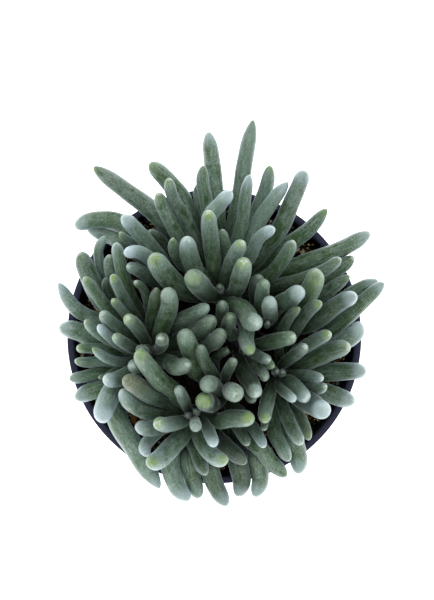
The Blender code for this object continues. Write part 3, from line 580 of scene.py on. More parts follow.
# Heads: place of the stem and height of its crown over the pot rim.
HEADS = {
    "north": (2.5, 17.0, 5.0),
    "northwest": (-15.5, 19.5, 1.0),
    "west": (-26.0, -6.0, 4.0),
    "southwest": (-8.5, -32.5, 6.0),
    "middle": (4.0, -24.0, 5.0),
    "centre": (9.0, -3.0, 3.0),
    "northeast": (21.5, 4.5, 3.0),
    "east": (26.0, -15.5, 3.0),
}

# Leaves of each head, as seen from above: tip x and y, height of the tip over
# the rim, middle x and y, inner x and y, thickness, tip length in
# thicknesses, marks if any.
LEAVES = {
    "north": [
        (15.9, 88.4, 18, 12.3, 70.5, 10.3, 57.0, 6.9, 1.6, "p"),
        (-2.5, 83.5, 15, -1.0, 72.0, 0.6, 56.0, 7.2, 1.1, "F"),
        (-4.6, 69.8, 23, -4.7, 62.0, -2.5, 50.0, 5.7, 1.2),
        (-5.9, 63.0, 13, -7.3, 56.5, -5.1, 45.0, 4.4, 1.2, "f"),
        (-26.4, 70.9, 19, -17.6, 62.0, -9.9, 51.6, 7.8, 0.8, "l"),
        (-18.9, 64.6, 27, -17.2, 56.0, -10.5, 45.0, 5.3, 0.9, "dlS"),
        (-22.4, 59.0, 24, -19.6, 51.5, -12.6, 38.3, 6.2, 0.9, "lS"),
        (-49.3, 69.2, 12, -35.9, 59.3, -21.6, 47.6, 7.6, 1.4, "dl"),
        (-2.5, 51.7, 40, -1.6, 41.0, -0.2, 29.0, 6.6, 0.8, "LS"),
        (7.2, 59.3, 32, 2.3, 53.9, -2.4, 45.0, 6.3, 0.7, "PF"),
        (14.4, 66.0, 26, 12.6, 56.6, 10.5, 42.0, 5.3, 1.3, "pF"),
        (22.7, 69.8, 14, 21.2, 60.9, 16.8, 49.5, 6.5, 1.1, "pls"),
        (30.2, 63.0, 22, 24.0, 55.5, 15.6, 42.9, 6.3, 1.5, "PFS"),
        (37.0, 67.9, 26, 31.5, 54.8, 23.9, 40.1, 7.3, 0.6, "dF"),
        (46.0, 52.1, 13, 38.3, 43.5, 27.6, 35.6, 6.5, 1.4, "lS"),
        (63.6, 42.4, 14, 50.9, 35.3, 33.1, 28.6, 7.3, 1.1, "FS"),
        (24.6, 44.5, 34, 18.1, 39.9, 13.8, 31.4, 5.4, 0.9, "PF"),
        (32.4, 39.3, 30, 28.2, 31.8, 20.2, 23.4, 5.9, 0.9, "S"),
        (51.6, 32.0, 22, 43.6, 26.6, 30.2, 22.0, 5.4, 0.9, "dS"),
        (56.9, 32.6, 12, 50.4, 27.3, 41.1, 22.3, 6.2, 0.9, "dS"),
        (11.8, 39.2, 40, 8.6, 33.7, 5.1, 25.7, 6.1, 0.9, "pLS"),
        (12.4, 31.9, 46, 11.0, 25.4, 8.2, 17.5, 7.5, 0.9, "LS"),
        (-11.2, 41.0, 38, -10.2, 33.5, -6.8, 25.5, 7.4, 0.9, "FS"),
        (-25.6, 33.7, 40, -20.5, 26.1, -11.8, 18.6, 9.1, 0.8, "L"),
        (-10.3, 26.0, 47, -6.6, 21.7, -2.5, 17.5, 8.7, 0.7, "dl"),
        (-16.8, 40.5, 28, -16.5, 35.3, -12.3, 29.0, 4.9, 1.3, "lS"),
        (3.1, 44.0, 22, 4.0, 38.9, 5.4, 31.5, 4.9, 1.1, "S"),
        (1.8, 21.2, 26, 2.5, 19.5, 2.6, 18.2, 3.1, 0.9, "d"),
        (19.2, 5.2, 46, 13.8, 6.6, 9.3, 11.7, 7.6, 0.7, "FS"),
        (15.1, -7.4, 39, 12.9, -1.9, 10.2, 5.2, 6.3, 0.9, "pL"),
    ],
    "northwest": [
        (-57.1, 44.7, 14, -47.5, 47.5, -36.1, 43.1, 7.3, 0.8, "FS"),
        (-51.8, 44.5, 7, -45.2, 42.4, -34.8, 38.5, 6.8, 1.0, "pf"),
        (-37.6, 49.4, 29, -32.0, 43.7, -22.8, 32.7, 6.5, 0.9, "pFs"),
        (-38.8, 42.6, 19, -35.9, 39.8, -29.0, 36.0, 3.5, 1.2, "pLS"),
        (-37.0, 33.8, 36, -31.1, 34.5, -24.6, 30.2, 5.6, 1.0, "PF"),
        (-36.0, 29.2, 27, -29.3, 26.0, -22.3, 21.0, 5.4, 0.9, "pS"),
        (-26.8, 43.2, 12, -20.9, 37.4, -17.0, 30.0, 5.1, 1.0, "D"),
    ],
    "west": [
        (-63.5, 22.0, 16, -56.8, 11.7, -46.1, 5.2, 5.9, 1.5, "pFs"),
        (-63.6, 3.6, 12, -56.0, 2.5, -43.0, -1.0, 8.2, 0.8, "FS"),
        (-53.1, 24.4, 27, -47.9, 17.2, -40.2, 8.3, 5.4, 1.0, "Ls"),
        (-54.4, 34.7, 18, -52.0, 27.9, -43.4, 13.8, 8.3, 0.8, "ds"),
        (-46.1, 10.3, 33, -42.7, 5.6, -35.3, 0.7, 5.5, 0.9, "S"),
        (-41.6, 25.5, 34, -38.3, 18.4, -32.9, 8.0, 4.9, 0.9, "dL"),
        (-41.8, 15.4, 30, -37.9, 11.3, -31.9, 4.6, 4.0, 0.9, "LS"),
        (-36.5, 8.2, 42, -32.3, 4.8, -28.1, -1.6, 5.5, 0.8, "LS"),
        (-52.8, 6.9, 24, -48.5, 2.1, -39.4, -3.3, 4.2, 1.0, "pls"),
        (-47.3, 5.1, 30, -42.7, 0.6, -35.5, -5.2, 4.4, 1.0, "PFs"),
        (-41.3, 0.6, 37, -37.3, -2.2, -31.0, -5.8, 4.9, 0.9, "ls"),
        (-49.8, -4.5, 26, -43.5, -8.9, -34.0, -10.8, 4.0, 1.6, "PL"),
        (-56.3, -4.8, 15, -48.0, -4.8, -36.0, -6.0, 4.5, 0.6, "lS"),
        (-57.0, -9.8, 11, -50.0, -10.8, -38.0, -11.0, 4.7, 0.9, "plS"),
        (-59.2, -17.2, 11, -51.0, -15.9, -37.5, -12.0, 5.3, 0.8, "f"),
        (-56.9, -25.4, 9, -49.9, -21.8, -37.0, -15.5, 7.6, 0.8, "Fs"),
        (-47.3, -16.8, 15, -43.3, -15.9, -36.0, -12.8, 2.2, 0.9, "dl"),
        (-45.4, -17.1, 30, -40.6, -17.6, -33.5, -14.1, 6.6, 0.8, "FS"),
        (-34.5, -11.1, 34, -31.8, -12.0, -29.0, -9.5, 6.1, 0.8, "fS"),
        (-30.7, -4.8, 38, -29.5, -5.7, -27.6, -6.7, 5.0, 0.8, "d"),
        (-23.3, 20.2, 33, -24.6, 12.0, -25.7, 2.5, 5.1, 1.5, "b"),
        (-19.1, 20.0, 44, -18.3, 12.5, -21.4, 2.5, 7.2, 0.7, "f"),
        (-22.3, 0.7, 46, -21.2, -1.6, -22.1, -4.6, 5.3, 0.7, "DS"),
        (-1.9, 12.5, 38, -8.4, 8.6, -17.8, 1.8, 5.9, 1.1, "pf"),
        (0.1, 8.2, 37, -5.2, 3.5, -14.2, -2.0, 7.3, 0.8, "d"),
        (3.9, 2.8, 39, -0.6, -2.3, -9.9, -6.9, 7.0, 0.8, "D"),
        (-9.1, -11.3, 38, -15.0, -11.4, -21.6, -9.3, 7.0, 0.8, "fS"),
        (-22.1, -61.8, 6, -31.5, -46.8, -39.8, -27.6, 8.7, 1.5, "pF"),
        (-45.1, -35.3, 26, -44.7, -29.0, -38.5, -17.5, 8.8, 0.7, "PF"),
        (-44.6, 41.1, 18, -47.4, 33.5, -43.0, 19.0, 4.4, 1.2, "pf"),
        (-40.1, 38.4, 28, -38.5, 31.1, -34.8, 17.0, 5.8, 0.9, "fs"),
        (-42.4, 33.5, 21, -42.8, 28.0, -39.0, 15.0, 4.8, 0.9, "ds"),
        (-32.7, 22.7, 29, -28.7, 19.0, -26.3, 9.0, 3.7, 0.8, "dS"),
        (-44.1, 24.3, 19, -43.4, 18.7, -36.0, 9.0, 4.1, 1.0, "X"),
    ],
    "southwest": [
        (-31.7, -5.8, 50, -25.4, -14.0, -15.5, -25.0, 7.4, 0.9, "L"),
        (-37.1, -16.6, 39, -30.3, -20.8, -19.0, -25.9, 8.0, 0.8, "dB"),
        (-37.8, -21.2, 31, -33.1, -27.9, -21.5, -31.2, 6.7, 1.0, "FS"),
        (-15.0, -20.2, 43, -12.7, -25.1, -10.4, -30.3, 4.9, 1.0, "dF"),
        (-7.8, -38.0, 46, -7.6, -36.2, -8.0, -33.8, 4.8, 0.6, "d"),
        (-6.9, -29.0, 27, -7.0, -30.9, -8.0, -31.8, 2.8, 1.0, "D"),
        (-11.4, -31.5, 24, -10.9, -32.0, -9.6, -32.6, 2.8, 1.0, "X"),
        (0.3, -44.9, 40, -1.7, -39.8, -4.2, -34.7, 5.2, 1.0, "pF"),
        (5.7, -50.5, 34, 0.1, -49.1, -6.1, -41.5, 6.8, 0.9, "L"),
        (-24.6, -35.0, 41, -19.4, -35.9, -13.0, -34.6, 6.2, 0.7, "pLS"),
        (-27.8, -51.7, 35, -21.8, -49.6, -14.1, -40.5, 8.1, 0.9, "L"),
        (-27.4, -49.0, 23, -27.8, -43.8, -20.0, -36.5, 5.5, 0.8, "PFb"),
        (-32.2, -36.1, 30, -26.5, -37.5, -17.0, -35.9, 6.5, 0.8, "df"),
        (-10.0, -66.7, 12, -15.4, -60.0, -16.2, -46.0, 7.8, 0.9, "pF"),
        (-6.1, -66.0, 8, -8.7, -57.9, -11.2, -45.0, 7.4, 0.7, "f"),
        (-3.2, -56.5, 16, -6.0, -50.8, -9.2, -42.1, 6.0, 1.0, "D"),
        (5.3, -69.0, 8, 0.5, -61.0, -5.0, -47.0, 7.6, 0.9, "dF"),
        (16.3, -33.4, 40, 8.5, -33.3, -1.0, -33.0, 7.2, 0.7, "L"),
        (13.1, -52.2, 11, 8.2, -48.4, 1.0, -41.0, 7.0, 0.9, "X"),
    ],
    "middle": [
        (8.4, -25.8, 50, 8.3, -22.4, 6.4, -21.7, 7.6, 0.6, "EfS"),
        (-5.8, -23.4, 44, -3.1, -26.2, 0.8, -26.2, 7.6, 0.6, "EdL"),
        (13.9, -44.5, 20, 11.9, -40.8, 8.5, -34.5, 4.6, 0.9, "d"),
        (20.6, -45.4, 24, 17.2, -39.2, 11.3, -31.7, 4.9, 1.1, "pFS"),
        (29.6, -57.1, 14, 22.3, -49.6, 11.4, -39.1, 6.7, 1.0, "S"),
        (9.6, -65.4, 5, 11.5, -57.0, 9.5, -43.5, 8.3, 0.8, "DFS"),
        (16.4, -65.5, 7, 18.5, -56.5, 13.7, -42.0, 7.6, 0.9, "FS"),
        (-5.2, -21.3, 46, -1.8, -20.1, 2.6, -22.0, 7.0, 0.7, "f"),
        (8.5, -8.8, 40, 5.8, -13.3, 3.6, -18.5, 4.4, 1.0, "d"),
        (-6.0, -3.0, 38, -4.9, -9.8, -0.7, -18.9, 5.3, 1.0, "d"),
        (-12.7, 2.6, 43, -10.8, -2.3, -4.7, -13.6, 8.0, 0.8, "f"),
        (6.0, -5.4, 26, 1.3, -7.1, -0.3, -13.5, 4.1, 0.9, "D"),
    ],
    "centre": [
        (6.1, 9.5, 36, 8.0, 4.9, 8.5, 0.1, 5.9, 0.9, "d"),
        (3.2, 14.8, 30, 3.6, 9.0, 5.8, 2.0, 5.4, 0.9, "p"),
        (17.8, -24.7, 43, 14.3, -18.9, 10.8, -9.8, 6.7, 0.8, "EFS"),
        (16.1, -26.7, 33, 13.6, -21.8, 11.0, -11.0, 5.1, 0.9, "D"),
        (20.9, -18.1, 36, 19.7, -14.5, 14.6, -8.1, 4.4, 0.9, "d"),
        (23.2, -9.8, 37, 17.3, -8.0, 11.8, -5.9, 4.6, 1.3, "pfS"),
        (24.7, -12.4, 29, 18.5, -10.4, 12.5, -6.5, 4.4, 1.1, "pL"),
        (33.4, 0.1, 40, 25.8, -1.5, 16.0, -3.7, 6.2, 0.7, "S"),
    ],
    "northeast": [
        (21.9, 6.2, 22, 21.8, 5.8, 21.5, 5.1, 2.3, 0.8, "P"),
        (35.9, 19.7, 38, 31.3, 15.3, 25.7, 12.4, 7.4, 0.7, "F"),
        (20.9, 23.2, 38, 19.5, 18.4, 19.6, 10.5, 5.8, 0.9),
        (18.2, 25.3, 27, 17.5, 18.5, 18.5, 10.5, 6.1, 0.9, "D"),
        (22.8, 16.1, 43, 22.3, 11.5, 22.2, 7.5, 6.3, 0.8, "pF"),
        (58.2, 17.1, 24, 50.2, 13.1, 37.2, 4.3, 7.2, 0.7, "DF"),
        (66.9, 22.5, 10, 59.2, 19.1, 44.0, 10.0, 6.1, 1.1, "FS"),
        (55.2, 24.9, 16, 48.8, 20.8, 35.9, 12.7, 5.6, 1.3, "dl"),
        (41.6, 27.7, 32, 40.0, 20.6, 33.3, 11.6, 8.5, 0.8, "Od"),
    ],
    "east": [
        (24.7, -13.0, 25, 25.2, -14.0, 25.1, -15.1, 3.0, 0.8, "X"),
        (28.1, -14.4, 22, 27.4, -14.5, 26.9, -15.4, 2.8, 0.8, "X"),
        (59.4, 6.1, 14, 56.4, 0.4, 45.7, -5.6, 7.8, 0.8, "pF"),
        (69.1, 22.2, 15, 61.0, 14.9, 46.1, 1.2, 6.3, 1.1, "F"),
        (43.9, 14.2, 32, 38.3, 10.4, 31.7, 0.7, 5.5, 1.1, "DL"),
        (34.9, 12.6, 33, 31.3, 9.1, 27.6, 0.9, 4.4, 1.3, "Dl"),
        (47.8, 1.6, 31, 41.3, -1.5, 32.0, -7.6, 5.6, 1.0, "dLS"),
        (55.6, -3.6, 21, 47.0, -6.1, 35.5, -10.9, 7.6, 0.8, "dlS"),
        (37.8, -3.3, 35, 33.9, -6.7, 28.3, -10.7, 4.9, 1.0, "dS"),
        (62.2, -14.0, 14, 53.0, -14.2, 40.0, -15.0, 7.5, 0.6, "dF"),
        (44.6, -17.3, 28, 38.5, -15.8, 31.0, -15.4, 4.3, 0.9, "fS"),
        (45.9, -19.8, 23, 41.5, -21.5, 33.5, -18.6, 4.6, 0.9, "S"),
        (38.2, -26.1, 34, 35.0, -22.8, 30.0, -18.9, 6.2, 0.9, "fS"),
        (33.0, -26.2, 39, 29.2, -22.8, 26.6, -19.1, 4.3, 0.9, "F"),
        (46.5, -28.4, 34, 42.5, -29.3, 33.9, -22.1, 8.6, 0.5, "Epf"),
        (57.5, -26.7, 12, 50.9, -24.6, 38.0, -19.5, 7.9, 0.8, "dFS"),
        (20.5, -35.2, 36, 20.8, -29.8, 23.2, -21.0, 5.9, 1.0, "L"),
        (20.1, -38.5, 24, 20.9, -33.0, 22.8, -22.5, 3.4, 0.9, "D"),
        (30.4, -51.1, 15, 25.9, -43.8, 23.6, -30.2, 6.1, 0.9, "f"),
        (35.7, -44.2, 25, 31.7, -37.4, 27.1, -26.1, 5.7, 0.8, "S"),
        (38.6, -42.3, 14, 36.4, -35.3, 30.4, -24.3, 4.6, 0.9, "dbl"),
        (34.2, -56.1, 9, 34.1, -48.8, 29.6, -33.0, 8.2, 0.8, "F"),
    ],
}


def leaf_line(head, row):
    # The centre line of a leaf from its root in the stem to its tip.
    hx, hy, crown = HEADS[head]
    tx, ty, th, mx, my, ix, iy, thick, tip = row[:9]
    plan = np.array([(hx, hy), (ix, iy), (mx, my), (tx, ty)])
    reach = np.linalg.norm(plan[3] - plan[0])
    rise = math.atan2(th - crown, reach) / (math.pi / 2.0)
    root = crown - ROOT_DROP * (1.0 - max(rise, 0.0)) - 1.5
    step = np.linalg.norm(np.diff(plan, axis=0), axis=1)
    part = np.concatenate([[0.0], np.cumsum(step)]) / step.sum()
    height = root + (th - root) * part ** 1.15
    points = np.column_stack([plan, height])
    # The outline seen from above runs past a leaf that points upwards.
    ahead = points[3] - points[2]
    ahead /= np.linalg.norm(ahead)
    level = tip * thick * np.linalg.norm(ahead[:2])
    past = math.hypot(level, 0.5 * thick * ahead[2]) - level
    points[3, :2] -= past * ahead[:2] / (np.linalg.norm(ahead[:2]) + 0.05)
    centre = np.array(VIEW_CENTRE)
    points[:, :2] = centre + (points[:, :2] - centre) * (1.0 - points[:, 2:] / VIEW_DISTANCE)
    points[:, 2] += RIM_HEIGHT
    points[0, :2] = (hx, hy)
    return even_points(smooth_run(points), SAMPLES)


def leaf_radius(part, length, thick, tip):
    # Half thickness along the leaf: slimmer at the root, fullest past the
    # middle, narrowing again to a rounded tip.
    body = 0.62 + 0.38 * np.clip(part / 0.55, 0.0, 1.0) ** 0.8
    body -= 0.16 * np.clip((part - 0.6) / 0.4, 0.0, 1.0) ** 1.5
    cap = min(tip * thick, 0.6 * length) / length
    u = np.clip((part - (1.0 - cap)) / cap, 0.0, 1.0)
    power = 0.5 + 0.18 * max(tip - 0.9, 0.0)
    return 0.5 * thick * body * (1.0 - u * u) ** power


def apart(one, other):
    # Distances between the points of pairs of lines.
    square = (one ** 2).sum(axis=2)[:, :, None] + (other ** 2).sum(axis=2)[:, None, :]
    return np.sqrt(np.clip(square - 2.0 * one @ other.transpose(0, 2, 1), 0.0, None)) + 1e-6


def relax(lines, radii, owner):
    # Moves the leaves apart, mostly in height, in a fixed number of rounds.
    # Roots stay where they are.
    part = np.linspace(0.0, 1.0, SAMPLES)
    free = np.clip((part - 0.06) / 0.22, 0.0, 1.0)[None, :, None]
    first, second = np.triu_indices(len(lines), 1)
    alike = owner[first] == owner[second]
    gap = np.where(alike, LEAF_GAP, HEAD_GAP)
    root_pair = (part < ROOT_PART)[:, None] | (part < ROOT_PART)[None, :]
    for count in range(RELAX_ROUNDS):
        if count % PAIR_ROUNDS == 0:
            low = lines.min(axis=1) - 6.0
            high = lines.max(axis=1) + 6.0
            near = np.all((low[first] < high[second]) & (low[second] < high[first]), axis=1)
            i = first[near]
            j = second[near]
            room = radii[i][:, :, None] + radii[j][:, None, :] + 4.0
            near[near] = (apart(lines[i], lines[j]) < room).any(axis=(1, 2))
            i = first[near]
            j = second[near]
            reach = radii[i][:, :, None] + radii[j][:, None, :] + gap[near][:, None, None]
            reach[alike[near][:, None, None] & root_pair[None]] = 0.0
        over = np.clip(reach - apart(lines[i], lines[j]), 0.0, MOST_PUSH)
        move = np.zeros_like(lines)
        for mine, theirs, axis in ((i, j, 2), (j, i, 1)):
            worst = over.argmax(axis=axis)
            depth = over.max(axis=axis)[:, :, None]
            away = lines[mine] - np.take_along_axis(lines[theirs], worst[:, :, None], axis=1)
            push = away * SIDE_SHARE
            push *= 0.5 * depth / (np.linalg.norm(push, axis=2, keepdims=True) + 1e-6)
            np.add.at(move, mine, push)
        for name, (x, y, crown) in HEADS.items():
            flat = lines[:, :, :2] - (x, y)
            lift = np.clip(lines[:, :, 2] - RIM_HEIGHT - crown, 0.0, None)
            wide = np.sqrt((flat ** 2).sum(axis=2)) + 1e-6
            miss = STEM_RADIUS + radii + HEAD_GAP - np.sqrt(wide ** 2 + lift ** 2)
            miss[owner == name] = 0.0
            move[:, :, :2] += flat / wide[..., None] * np.clip(miss, 0.0, MOST_PUSH)[..., None]
        ring = np.sqrt((lines[:, :, :2] ** 2).sum(axis=2))
        floor = np.full_like(ring, SOIL_TOP + SOIL_RELIEF + 1.0)
        floor[ring > RIM_RADIUS - 9.0] = RIM_HEIGHT + 0.6
        floor[ring > RIM_RADIUS + 8.0] = RIM_HEIGHT - 12.0
        move[:, :, 2] += np.clip(floor + radii - lines[:, :, 2], 0.0, MOST_PUSH)
        move *= PUSH_SHARE * free
        for _ in range(SPREAD_PASSES):
            even = move.copy()
            even[:, 1:-1] = (move[:, :-2] + 2.0 * move[:, 1:-1] + move[:, 2:]) / 4.0
            even[:, -1] = move[:, -2]
            move = np.where(np.abs(even) > np.abs(move), even, 0.5 * (even + move)) * free
        lines = lines + move
    return lines


def fade(way, run):
    # Falls smoothly from 1 to 0 over a run.
    left = 1.0 - min(way / run, 1.0)
    return left * left * (3.0 - 2.0 * left)


def strength(marks, strengths, otherwise=0.0):
    # The strength of the first of these marks that a leaf has.
    return next((value for mark, value in strengths.items() if mark in marks), otherwise)


def leaf_skin(line, row, draw):
    # One leaf: a ball drawn out along the leaf's line.
    bm = bmesh.new()
    layers = {name: bm.verts.layers.float_vector.new(name)
              for name in ("fibre", "reach", "marks", "cast")}
    thick, tip = row[7:9]
    marks = row[9] if len(row) > 9 else ""
    run = smooth_run(line, 4)
    step = np.linalg.norm(np.diff(run, axis=0), axis=1)
    way = np.concatenate([[0.0], np.cumsum(step)])
    length = way[-1]
    grid = 1.0 - (1.0 - np.linspace(0.0, 1.0, LEAF_RINGS + 1)) ** 1.5
    place_at = np.column_stack([np.interp(grid * length, way, run[:, k]) for k in range(3)])
    radius = leaf_radius(grid, length, thick, tip)
    ahead = np.gradient(place_at, axis=0)
    ahead /= np.linalg.norm(ahead, axis=1, keepdims=True)
    across = Vector((0.3, 0.1, 1.0)).cross(Vector(ahead[0])).normalized()
    frames = []
    for forward in ahead:
        forward = Vector(forward)
        across = (across - forward * across.dot(forward)).normalized()
        frames.append((across.copy(), forward.cross(across)))
    seed = Vector(draw.uniform(-90.0, 90.0, 3))
    tone = draw.uniform(0.0, 1.0)
    hue = draw.uniform(0.0, 1.0)
    lime = strength(marks, LIMES, PLAIN_LIME)
    pale = strength(marks, PALES)
    frost_and_light = strength(marks, FROSTS_AND_PAINTED_LIGHT)
    spot_and_highlight = strength(marks, SPOTS_AND_HIGHLIGHTS, PLAIN_SPOT_AND_HIGHLIGHT)
    tan = strength(marks, TANS)
    lime_run = LONG_LIME_RUN if "O" in marks else LIME_RUN
    # Coat letters are partly the leaf's own tone and partly painted light and shade.
    coat_and_shade = math.prod(COATS_AND_SHADE[mark] for mark in marks if mark in COATS_AND_SHADE)
    for vert, share, angle in rods(bm, LEAF_RINGS, LEAF_SIDES):
        k = min(int(round(share * LEAF_RINGS)), LEAF_RINGS)
        side, up = frames[k]
        from_tip = (1.0 - grid[k]) * length
        along = grid[k] * length / (1.6 * thick)
        dent = noise.noise(Vector((math.cos(angle), math.sin(angle), along)) + seed)
        wide = radius[k] * (1.0 + 0.05 * dent)
        spot = Vector(place_at[k]) + (side * math.cos(angle) + up * math.sin(angle)) * wide
        vert.co = spot * MM
        vert[layers["fibre"]] = Vector((math.cos(angle) * thick / 2, math.sin(angle) * thick / 2,
                                        grid[k] * length)) + seed
        # Flanks and undersides of the outer leaves are whiter: painted light from the
        # glowing table and white surroundings.
        facing = (side * math.cos(angle) + up * math.sin(angle)).z
        outward = 0.12 + 0.88 * np.clip((spot.xy.length - OUTER_FROM) / OUTER_RUN, 0.0, 1.0)
        under = UNDER_PAINTED_LIGHT * outward * np.clip((UNDER_TURN - facing) / UNDER_TURN, 0.0, 1.0)
        # Painted shade: darker low down and deep in the clump.
        deep = np.clip((RIM_HEIGHT + DEEP_BELOW - spot.z) / DEEP_DROP, 0.0, 1.0)
        deep *= np.clip((DEEP_WITHIN - spot.xy.length) / DEEP_EDGE, 0.0, 1.0)
        # E: painted shade on the body below the end of an upright leaf.
        painted_highlight_and_shade = END_SHADE_SHARE * np.clip((from_tip - END_SHADE_FROM) / END_SHADE_RUN, 0.0, 1.0) if "E" in marks else 0.0
        under *= 1.0 - painted_highlight_and_shade
        vert[layers["reach"]] = Vector((grid[k], from_tip, tone))
        # Frost is whiter felt at the end, made stronger on the outer leaves as painted light.
        whiter_and_painted_light = frost_and_light * fade(from_tip, FROST_RUN) * (0.45 + 0.55 * outward) + under + pale * grid[k]
        vert[layers["marks"]] = Vector((lime * fade(from_tip, lime_run), min(whiter_and_painted_light, 1.0), spot_and_highlight))
        vert[layers["cast"]] = Vector((tan * fade(from_tip, TAN_RUN), hue,
                                       coat_and_shade * (1.0 - DEEP_PAINTED_SHADE * deep) * (1.0 - painted_highlight_and_shade)))
    bmesh.ops.recalc_face_normals(bm, faces=bm.faces)
    return meshed(bm)


def stem_core(head):
    x, y, crown = HEADS[head]
    deep = SOIL_TOP - HOLE_DEPTH + 1.0
    profile = [(0.0, deep), (STEM_RADIUS - 1.0, deep), (STEM_RADIUS, deep + 1.5),
               (STEM_RADIUS, SOIL_TOP + 4.0), (CROWN_RADIUS, RIM_HEIGHT + crown - 1.0),
               (CROWN_RADIUS - 1.2, RIM_HEIGHT + crown + 0.6),
               (0.0, RIM_HEIGHT + crown + 1.2)]
    core = spun(profile, STEM_STEPS)
    bmesh.ops.translate(core, verts=core.verts, vec=Vector((x, y, 0.0)) * MM)
    return meshed(core)


# Living leaf skin under a thin felt of white hairs: grey-green with fine
# lengthwise streaks, a pale bluish sheen at grazing angles, greener and darker
# towards the root, partly thin felt and partly painted shade, and yellow-green
# at the growing tip.
felt, tree, shader = finish_named("felted_leaf_skin", Roughness=0.42, Specular_IOR_Level=0.5, IOR=1.5,
                                  Sheen_Weight=0.9, Sheen_Roughness=0.16, Sheen_Tint=linear("#deece8"))
fibre = node(tree, "Attribute", attribute_name="fibre").outputs["Vector"]
reach = node(tree, "SeparateXYZ", {0: node(tree, "Attribute", attribute_name="reach").outputs["Vector"]})
marks = node(tree, "SeparateXYZ", {0: node(tree, "Attribute", attribute_name="marks").outputs["Vector"]})
cast = node(tree, "SeparateXYZ", {0: node(tree, "Attribute", attribute_name="cast").outputs["Vector"]})
stretch = (1 / STREAK_WIDTH, 1 / STREAK_WIDTH, 1 / STREAK_LENGTH)
drawn = node(tree, "Mapping", {"Vector": fibre, "Scale": stretch})
streak = node(tree, "TexNoise", {"Vector": drawn.outputs[0], "Scale": 1.0, "Detail": 3.0, "Roughness": 0.6})
hairs = node(tree, "TexNoise", {"Vector": fibre, "Scale": 1 / HAIR_GRAIN, "Detail": 3.0, "Roughness": 0.8})
mottle = node(tree, "TexNoise", {"Vector": fibre, "Scale": 1 / MOTTLE_SIZE, "Detail": 2.0})
# Green skin below, felt above, thicker towards the tip; the darker root is
# partly painted shade.
felt_cover_and_shade = node(tree, "MapRange", {"Value": reach.outputs[0], "From Min": 0.3, "From Max": 1.0,
                                "To Min": 0.14, "To Max": 0.61})
patchy = node(tree, "MapRange", {"Value": mottle.outputs["Fac"], "From Min": 0.3, "From Max": 0.7,
                                 "To Min": -0.16, "To Max": 0.16})
rubbing = node(tree, "TexNoise", {"Vector": fibre, "Scale": 1 / RUBBED_PATCH, "Detail": 1.0})
rubbed_and_lip_highlight = node(tree, "MapRange", {"Value": rubbing.outputs["Fac"], "From Min": 0.56, "From Max": 0.62,
                                 "To Max": -0.4})
uneven = node(tree, "Math", {0: patchy.outputs["Result"], 1: rubbed_and_lip_highlight.outputs["Result"]}, operation="ADD")
covered_and_shaded = node(tree, "Math", {0: felt_cover_and_shade.outputs["Result"], 1: uneven.outputs[0]}, operation="ADD",
               use_clamp=True)
skin = node(tree, "Mix", {0: cast.outputs[1], 6: linear("#304b22"), 7: linear("#415d31")}, data_type="RGBA")
down = node(tree, "Mix", {0: reach.outputs[2], 6: linear("#5a6f5c"), 7: linear("#83968b")}, data_type="RGBA")
body = node(tree, "Mix", {0: covered_and_shaded.outputs[0], 6: skin.outputs[2], 7: down.outputs[2]}, data_type="RGBA")
lines_fac = node(tree, "MapRange", {"Value": streak.outputs["Fac"], "From Min": 0.46, "From Max": 0.66,
                                    "To Max": 0.3})
streaked = node(tree, "Mix", {0: lines_fac.outputs["Result"], 6: body.outputs[2], 7: linear("#9db0a9")},
                data_type="RGBA")
grain = node(tree, "MapRange", {"Value": hairs.outputs["Fac"], "From Min": 0.36, "From Max": 0.64,
                                "To Min": 0.52, "To Max": 1.48})
shade = node(tree, "Math", {0: grain.outputs["Result"], 1: cast.outputs[2]}, operation="MULTIPLY")
grained = node(tree, "VectorMath", {0: streaked.outputs[2], "Scale": shade.outputs[0]}, operation="SCALE")
# Marks near the tip, and the whiter flanks and undersides of the outer leaves,
# which are painted light.
patch = node(tree, "MapRange", {"Value": mottle.outputs["Fac"], "From Min": 0.4, "From Max": 0.58,
                                "To Min": 0.35})
frosted_and_lit = node(tree, "Mix", {0: marks.outputs[1], 6: grained.outputs[0], 7: linear("#b0c1cb")},
               data_type="RGBA")
lime_fac = node(tree, "Math", {0: patch.outputs["Result"], 1: marks.outputs[0]}, operation="MULTIPLY")
limed = node(tree, "Mix", {0: lime_fac.outputs[0], 6: frosted_and_lit.outputs[2], 7: linear("#759142")},
             data_type="RGBA")
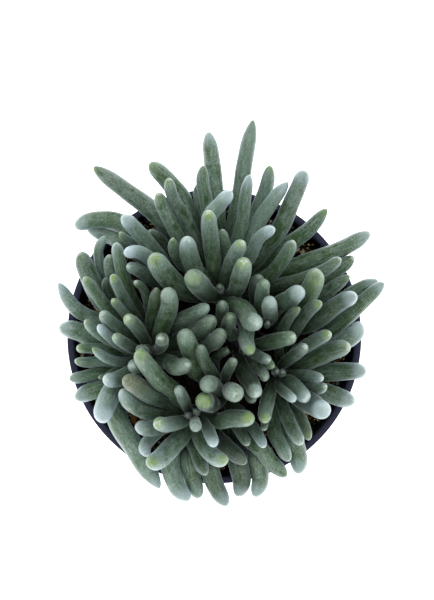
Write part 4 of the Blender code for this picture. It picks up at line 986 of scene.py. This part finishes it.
# Old ends are tanned in fine rings across the leaf.
ripple = node(tree, "Math", {0: reach.outputs[1], 1: 2 * math.pi / TAN_RING}, operation="MULTIPLY")
swing = node(tree, "Math", {0: ripple.outputs[0]}, operation="SINE")
wave = node(tree, "MapRange", {"Value": swing.outputs[0], "From Min": -1.0, "To Min": 0.25})
tan_fac = node(tree, "Math", {0: wave.outputs["Result"], 1: cast.outputs[0]}, operation="MULTIPLY")
tanned = node(tree, "Mix", {0: tan_fac.outputs[0], 6: limed.outputs[2], 7: linear("#5d5934")},
              data_type="RGBA")
# The pale spot at the very tip is partly a pale tip and partly a painted highlight.
ragged = node(tree, "Math", {0: mottle.outputs["Fac"], 1: 3.0, 2: reach.outputs[1]},
              operation="MULTIPLY_ADD")
end_spot = node(tree, "MapRange", {"Value": ragged.outputs[0], "From Min": 2.3, "From Max": 1.3},
                interpolation_type="SMOOTHSTEP")
spot_fac = node(tree, "Math", {0: end_spot.outputs["Result"], 1: marks.outputs[2]}, operation="MULTIPLY")
spotted = node(tree, "Mix", {0: spot_fac.outputs[0], 6: tanned.outputs[2], 7: linear("#c8d3c8")},
               data_type="RGBA")
tree.links.new(spotted.outputs[2], shader.inputs["Base Color"])
height = node(tree, "Math", {0: streak.outputs["Fac"], 1: hairs.outputs["Fac"]}, operation="ADD")
relief = node(tree, "Bump", {"Height": height.outputs[0], "Strength": 0.5, "Distance": 0.12 * MM})
tree.links.new(relief.outputs["Normal"], shader.inputs["Normal"])

rows = [(head, row) for head in LEAVES for row in LEAVES[head]]
owner = np.array([head for head, _ in rows])
lines = np.array([leaf_line(head, row) for head, row in rows])
shares = np.linspace(0.0, 1.0, SAMPLES)
radii = []
for line, (_, row) in zip(lines, rows):
    length = np.linalg.norm(np.diff(line, axis=0), axis=1).sum()
    radii.append(leaf_radius(shares, length, row[7], row[8]))
lines = relax(lines, np.array(radii), owner)
draw = np.random.default_rng(LEAF_SEED)
for head in HEADS:
    skins = [stem_core(head)]
    skins += [leaf_skin(line, row, draw) for line, (name, row) in zip(lines, rows) if name == head]
    place(head + "_head_leaves", joined(skins), felt, head + "_head", "leaf")
